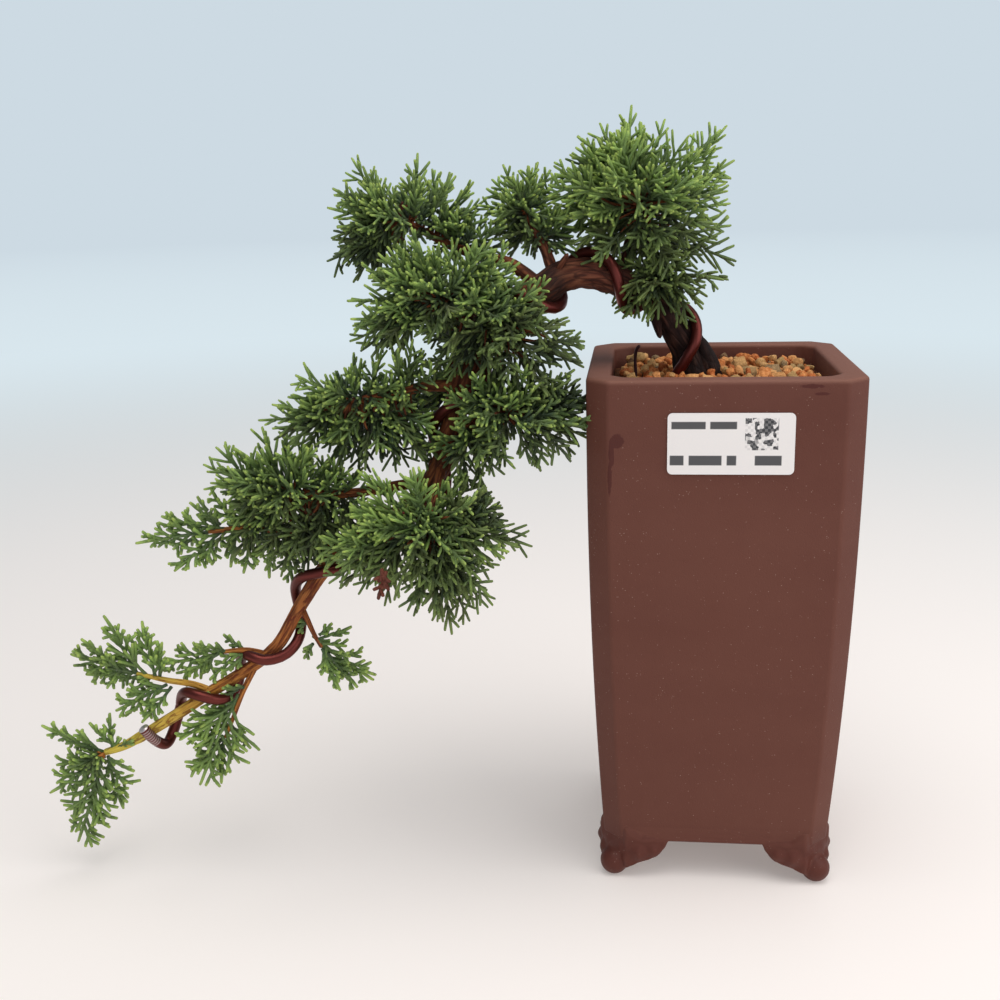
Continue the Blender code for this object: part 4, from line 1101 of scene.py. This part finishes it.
# each pad: how long its sprays are, its tint, and clumps of middle, half sizes, sprays, lift and dead share,
# where a lift below zero lets sprays droop; flat fans have a base x and z, a tip x and z, a depth y and dead
pads = {
    "apex": {"length": 27, "tint": 0.6, "clumps": [
        ((-33, -2, 77), (38, 32, 34), 70, 0.5), ((-56, 0, 84), (21, 16, 21), 16, 0.5),
        ((-45, 0, 98), (18, 16, 15), 12, 0.7), ((-27, -12, 42), (23, 20, 16), 24, -0.8)]},
    "upper_small": {"length": 20, "tint": 0.5, "clumps": [
        ((-84, -8, 78), (19, 18, 18), 26, 0.6), ((-70, -6, 66), (14, 14, 13), 14, 0.3),
        ((-84, -8, 64), (16, 14, 9), 10, -0.1)]},
    "upper_left": {"length": 24, "tint": 0.45, "clumps": [
        ((-128, -14, 75), (28, 22, 19), 34, 0.7), ((-150, -14, 76), (18, 16, 19), 20, 0.8, 0.06),
        ((-154, -14, 58), (17, 14, 12), 12, -0.3), ((-108, -16, 66), (18, 16, 14), 14, 0.5)]},
    "centre": {"length": 22, "tint": 0.5, "clumps": [
        ((-101, -30, 54), (17, 14, 12), 12, 0.4), ((-130, -24, 53), (17, 13, 10), 9, 0.1),
        ((-121, -36, 44), (33, 20, 22), 46, 0.5), ((-89, -38, 36), (21, 18, 17), 18, 0.2),
        ((-80, -42, 20), (25, 18, 22), 22, -0.4), ((-104, -36, 18), (22, 18, 16), 14, -0.2),
        ((-140, -36, 30), (17, 16, 14), 12, 0.2)]},
    "back": {"length": 24, "tint": 0.35, "clumps": [
        ((-110, 12, 28), (28, 20, 25), 34, 0.4), ((-124, 2, -12), (24, 18, 20), 20, 0.2)]},
    "right": {"length": 22, "tint": 0.45, "clumps": [
        ((-82, -44, -8), (30, 22, 20), 38, 0.1), ((-64, -40, -2), (18, 14, 13), 14, -0.1),
        ((-100, -40, 2), (18, 18, 14), 12, 0.2), ((-104, -46, -22), (20, 16, 14), 14, 0.2)]},
    "mid_left": {"length": 23, "tint": 0.45, "clumps": [
        ((-152, -36, 2), (25, 20, 17), 30, 0.4), ((-174, -38, -10), (17, 16, 13), 14, 0.4),
        ((-134, -36, 8), (18, 18, 15), 10, 0.3), ((-144, -36, -18), (30, 18, 15), 34, 0.1)]},
    "left": {"length": 24, "tint": 0.5, "clumps": [
        ((-186, -42, -36), (26, 22, 21), 36, 0.5), ((-166, -40, -44), (22, 20, 22), 24, 0.2),
        ((-200, -42, -55), (17, 16, 14), 14, 0.1), ((-208, -42, -34), (14, 12, 12), 9, 0.5),
        ((-176, -44, -66), (22, 18, 12), 18, -0.2)]},
    "left_spray": {"length": 19, "tint": 0.6, "clumps": [
        ((-208, -42, -56), (14, 10, 11), 6, 0.3)], "fans": [
        (-221, -58, -255, -63, -42), (-218, -57, -244, -52, -42), (-217, -56, -229, -45, -42),
        (-216, -58, -239, -76, -42), (-213, -57, -229, -74, -42), (-216, -55, -224, -41, -42),
        (-210, -54, -219, -39, -42), (-209, -55, -212, -73, -42), (-201, -54, -207, -77, -42),
        (-194, -58, -197, -80, -42), (-200, -56, -206, -38, -42), (-186, -60, -186, -82, -42)]},
    "lower_front": {"length": 25, "tint": 0.6, "clumps": [
        ((-123, -66, -50), (34, 22, 25), 44, 0.2), ((-148, -62, -60), (22, 16, 19), 18, 0.1),
        ((-112, -64, -73), (22, 16, 19), 18, -0.4), ((-99, -60, -46), (19, 18, 20), 18, -0.1)], "fans": [
        (-134, -61, -138, -73, -84, 1.0), (-136, -60, -133, -69, -84, 1.0)]},
    "tail_right": {"tint": 0.6, "fans": [
        (-178, -98, -190, -103, -46), (-177, -104, -151, -126, -46), (-175, -106, -160, -102, -46),
        (-173, -110, -166, -130, -46), (-174, -104, -168, -99, -46), (-177, -108, -183, -117, -46),
        (-171, -112, -157, -128, -46)]},
    "tail_upper": {"tint": 0.6, "fans": [
        (-247, -122, -287, -113, -55), (-255, -121, -267, -93, -55), (-247, -122, -252, -96, -55),
        (-245, -121, -241, -103, -55), (-242, -125, -268, -139, -55), (-240, -126, -254, -142, -55),
        (-258, -120, -282, -124, -54), (-262, -119, -279, -103, -56), (-248, -121, -261, -131, -54)]},
    "tail_small": {"tint": 0.6, "fans": [
        (-216, -111, -247, -118, -50), (-218, -111, -236, -123, -51), (-215, -111, -228, -106, -50),
        (-210, -111, -224, -124, -50), (-206, -111, -217, -120, -51), (-207, -110, -218, -105, -50)]},
    "tail_lower": {"tint": 0.6, "fans": [
        (-210, -129, -230, -171, -54), (-211, -132, -238, -151, -54), (-215, -144, -208, -157, -54),
        (-218, -150, -236, -168, -54), (-210, -127, -221, -133, -54), (-207, -126, -216, -125, -54),
        (-219, -152, -222, -173, -53), (-212, -136, -228, -140, -53)]},
    "tail_tip": {"length": 17, "tint": 0.7, "clumps": [((-280, -61, -160), (9, 8, 9), 7, 0.1)], "fans": [
        (-272, -156, -301, -146, -61), (-274, -158, -297, -164, -62), (-274, -159, -299, -177, -61),
        (-273, -158, -290, -203, -61), (-271, -158, -269, -186, -60), (-268, -155, -269, -138, -61),
        (-267, -154, -277, -141, -60), (-265, -153, -257, -149, -61), (-270, -158, -259, -165, -62),
        (-276, -160, -282, -190, -60)]},
}


def spreadDirections(count, chooser):
    # evenly spread directions with a little disorder
    turn = math.pi * (3 - math.sqrt(5))
    ways = []
    for i in range(count):
        z = 1 - 2 * (i + 0.5) / count
        ring = math.sqrt(1 - z * z)
        way = Vector((ring * math.cos(turn * i), ring * math.sin(turn * i), z)) + anyDirection(chooser) * 0.22
        ways.append(way.normalized())
    return ways


def growPad(name, pad, chooser, shoots, twigs):
    line = branchLines.get(name, trunkLine)
    hubs = [drawn(*point[:3]) for point in smoothCurve(line[-3:], 3)]
    for middle, half, sprays, lift, *dead in pad.get("clumps", []):
        middle = drawn(*middle)
        dying = dead[0] if dead else 0.005
        for way in spreadDirections(round(sprays * shootShape["crowd"]), chooser):
            inner = chooser.random() < 0.36
            depth = chooser.uniform(0.45, 0.78) if inner else chooser.choice((0.9, 0.96, 1.02, 1.1, 1.24))
            tip = middle + Vector([way[i] * half[i] * mm for i in range(3)]) * depth
            length = pad["length"] * chooser.uniform(0.75, 1.1) * mm
            hub = min(hubs, key=lambda spot: (spot - (middle + tip) / 2).length)
            away = (tip - hub).normalized() + way * 0.6
            base = tip - away.normalized() * min(length, (tip - hub).length * 0.95)
            low = way.z < -0.3 or lift < 0
            # painted light and shade in the tint: sprays facing up are lighter, and inner and low sprays
            # darker, partly as older foliage and partly as painted shade
            tint = pad["tint"] + (0.12 if way.z > 0.3 else 0)
            look = {
                "tint": tint - (0.4 if inner else 0) - (0.2 if low else 0),
                "young": 0.25 if inner or low else 1.0,
                "dead": 1.0 if chooser.random() < dying else 0.0,
                "olive": chooser.uniform(0.5, 1) if low else chooser.uniform(0, 0.35),
                "rise": lift if way.z > -0.3 else min(lift, -0.2),
                "size": shootShape["radius"] * chooser.uniform(0.92, 1.1),
                "gap": 3.2, "loose": 0.9, "forked": False,
            }
            growSpray(shoots, chooser, base, tip, away.cross(anyDirection(chooser)), look)
            if (base - hub).length > 1.5 * mm:
                twigs.append((hub, base, chooser.uniform(0.4, 0.65)))
    for x, z, tipX, tipZ, y, *dead in pad.get("fans", []):
        base, tip = drawn(x, y, z), drawn(tipX, y + chooser.uniform(-5, 5), tipZ)
        look = {
            "tint": pad["tint"] + chooser.uniform(-0.1, 0.15), "young": 0.9, "dead": dead[0] if dead else 0.0,
            "olive": chooser.uniform(0, 0.2), "rise": 0.3, "size": shootShape["radius"] * 1.28, "gap": 3.1,
            "loose": 0.5, "forked": True,
        }
        growSpray(shoots, chooser, base, tip, (tip - base).cross(Vector((0.1, 1, 0.3))), look)


print("foliage")
template = shootTemplate()
twigs = []
for seed, (name, pad) in enumerate(pads.items()):
    shoots = []
    growPad(name, pad, Random(100 + seed), shoots, twigs)
    mesh = stampMesh("leaves_" + name, template, shoots)
    meshObject("leaves_" + name, mesh, leaf, "leaf", "foliage_" + name)

twigWood = newSleeves("age", "char")
chooser = Random(7)
for hub, base, radius in twigs:
    lean = anyDirection(chooser) * (base - hub).length * 0.12
    stations = []
    for i in range(7):
        t = i / 6
        stations.append((hub.lerp(base, t) + lean * math.sin(math.pi * t), radius * mm * (1.5 - 0.7 * t)))
    age = 0.45 + 0.2 * (ageAt(base.x) > 0.6)
    addSleeve(twigWood, stations, 6, barkRelief(chooser.uniform(0, 50), 0.1, 0.1),
              extras=lambda row, rows, ahead: {"age": age})
sleeveObject(twigWood, "twigs", bark, "bark")


# Soil grains

grainShape = {
    "count": 330, "lower": 190, "size": 4.0, "sizes": (0.5, 0.65, 0.85, 1.0, 1.15, 1.4), "room": 41.5,
    "half": 46, "corners": 84, "heap": 3, "packed": 0.78,
    # kept clear: the trunk's foot and the tie wire, as x, y, room and share of a grain's size
    "clear": [(-9, 3, 9.0, 0.6), (-36, -6, 1.2, 1.0)],
}


def grainMesh():
    chooser = Random(5)
    bm = bmesh.new()
    tintLayer = bm.verts.layers.float.new("tint")
    spots = []
    tries = 0
    while len(spots) < grainShape["count"] and tries < 40000:
        tries += 1
        lift = 0.6 if len(spots) < grainShape["lower"] else 3.4
        size = grainShape["size"] * chooser.choice(grainShape["sizes"])
        x = chooser.uniform(-grainShape["room"], grainShape["room"])
        y = chooser.uniform(-grainShape["room"], grainShape["room"])
        if abs(x) + abs(y) > grainShape["corners"] - size:
            continue
        if any(math.hypot(x - a, y - b) < room + size * share for a, b, room, share in grainShape["clear"]):
            continue
        edge = max(abs(x), abs(y)) / grainShape["half"]
        heap = grainShape["heap"] * (1 - edge ** 2) * (0.5 + 0.5 * max(y, 0) / grainShape["half"])
        z = heap + lift * chooser.uniform(0.7, 1.3)
        if any(math.dist((x, y, z), spot[:3]) < (size + spot[3]) * grainShape["packed"] for spot in spots):
            continue
        spots.append((x, y, z, size))
    for number, (x, y, z, size) in enumerate(spots):
        made = bmesh.ops.create_icosphere(bm, subdivisions=2, radius=1)["verts"]
        shift = Vector((number * 3.1, number * 1.7, 0))
        squash = (chooser.uniform(0.8, 1.15), chooser.uniform(0.75, 1.0), chooser.uniform(0.6, 0.85))
        turn = Matrix.Rotation(chooser.uniform(0, 6.3), 3, anyDirection(chooser))
        tint = chooser.random()
        middle = drawn(x, y, z)
        for vert in made:
            point = vert.co.copy()
            lump = 1 + 0.3 * noise.noise(point * 1.1 + shift) + 0.14 * noise.noise(point * 2.9 + shift)
            flat = Vector([axis / max(1.0, abs(axis) / 0.62) for axis in point])
            point = (point * 0.3 + flat * 0.85) * lump
            point = turn @ Vector((point.x * squash[0], point.y * squash[1], point.z * squash[2]))
            vert.co = middle + point * size * mm
            vert[tintLayer] = tint
    mesh = finished(bm, "grains")
    mesh.shade_smooth()
    mesh.set_sharp_from_angle(angle=math.radians(50))
    return mesh


print("soil")
meshObject("soilgrains", grainMesh(), grain, "grain", *["granule_%02d" % (i + 1) for i in range(18)])


# Floor, light and camera

def areaLight(name, place, target, size, power, colour):
    light = bpy.data.lights.new(name, "AREA")
    light.shape = "RECTANGLE"
    light.size = size[0]
    light.size_y = size[1]
    light.energy = power
    light.color = colour
    lamp = bpy.data.objects.new(name, light)
    scene.collection.objects.link(lamp)
    lamp.location = place
    lamp.rotation_euler = (Vector(target) - Vector(place)).to_track_quat("-Z", "Y").to_euler()


print("stage")
bm = bmesh.new()
bmesh.ops.create_grid(bm, x_segments=8, y_segments=8, size=60)
floor = looseObject("floor", bm)
floor.data.materials.append(floorMaterial())

world = bpy.data.worlds.new("paleSky")
world.use_nodes = True
skyNode = world.node_tree.nodes["Background"]
skyNode.inputs[0].default_value = tone(*stageLook["sky"])
seen = Signal(world.node_tree, world.node_tree.nodes.new("ShaderNodeLightPath").outputs[0])
feed(world.node_tree, skyNode.inputs[1], seen * (1 - stageLook["fillPower"]) + stageLook["fillPower"])
scene.world = world
areaLight("overhead", (0.1, -0.15, 1.4), (0.0, 0.0, 0.1), (1.5, 1.2), 13.5, (1.0, 0.975, 0.95))
areaLight("rightWindow", (1.05, -0.4, 0.7), (0.05, 0.0, 0.14), (1.3, 1.0), 6.5, (1.0, 0.98, 0.96))
areaLight("frontFill", (0.0, -1.3, 0.5), (0.0, 0.0, 0.15), (1.2, 0.8), 2.2, (1.0, 0.98, 0.96))
scene.view_settings.view_transform = "Standard"

view = {"place": (-34.88, -534.88, 306.37), "yaw": -0.1168, "pitch": -0.2623, "roll": -0.0249, "lens": 43.72}
yaw, pitch, roll = view["yaw"], view["pitch"], view["roll"]
forward = Vector((math.sin(yaw) * math.cos(pitch), math.cos(yaw) * math.cos(pitch), math.sin(pitch)))
right = Vector((math.cos(yaw), -math.sin(yaw), 0))
above = right.cross(forward)
turned = right * math.cos(roll) + above * math.sin(roll)
upward = above * math.cos(roll) - right * math.sin(roll)
lens = bpy.data.cameras.new("camera")
lens.lens = view["lens"]
lens.sensor_width = 36
lens.clip_start = 0.01
camera = bpy.data.objects.new("camera", lens)
scene.collection.objects.link(camera)
facing = Matrix((turned, upward, -forward)).transposed().to_4x4()
facing.translation = potMiddle + Vector(view["place"]) * mm
camera.matrix_world = facing
scene.camera = camera
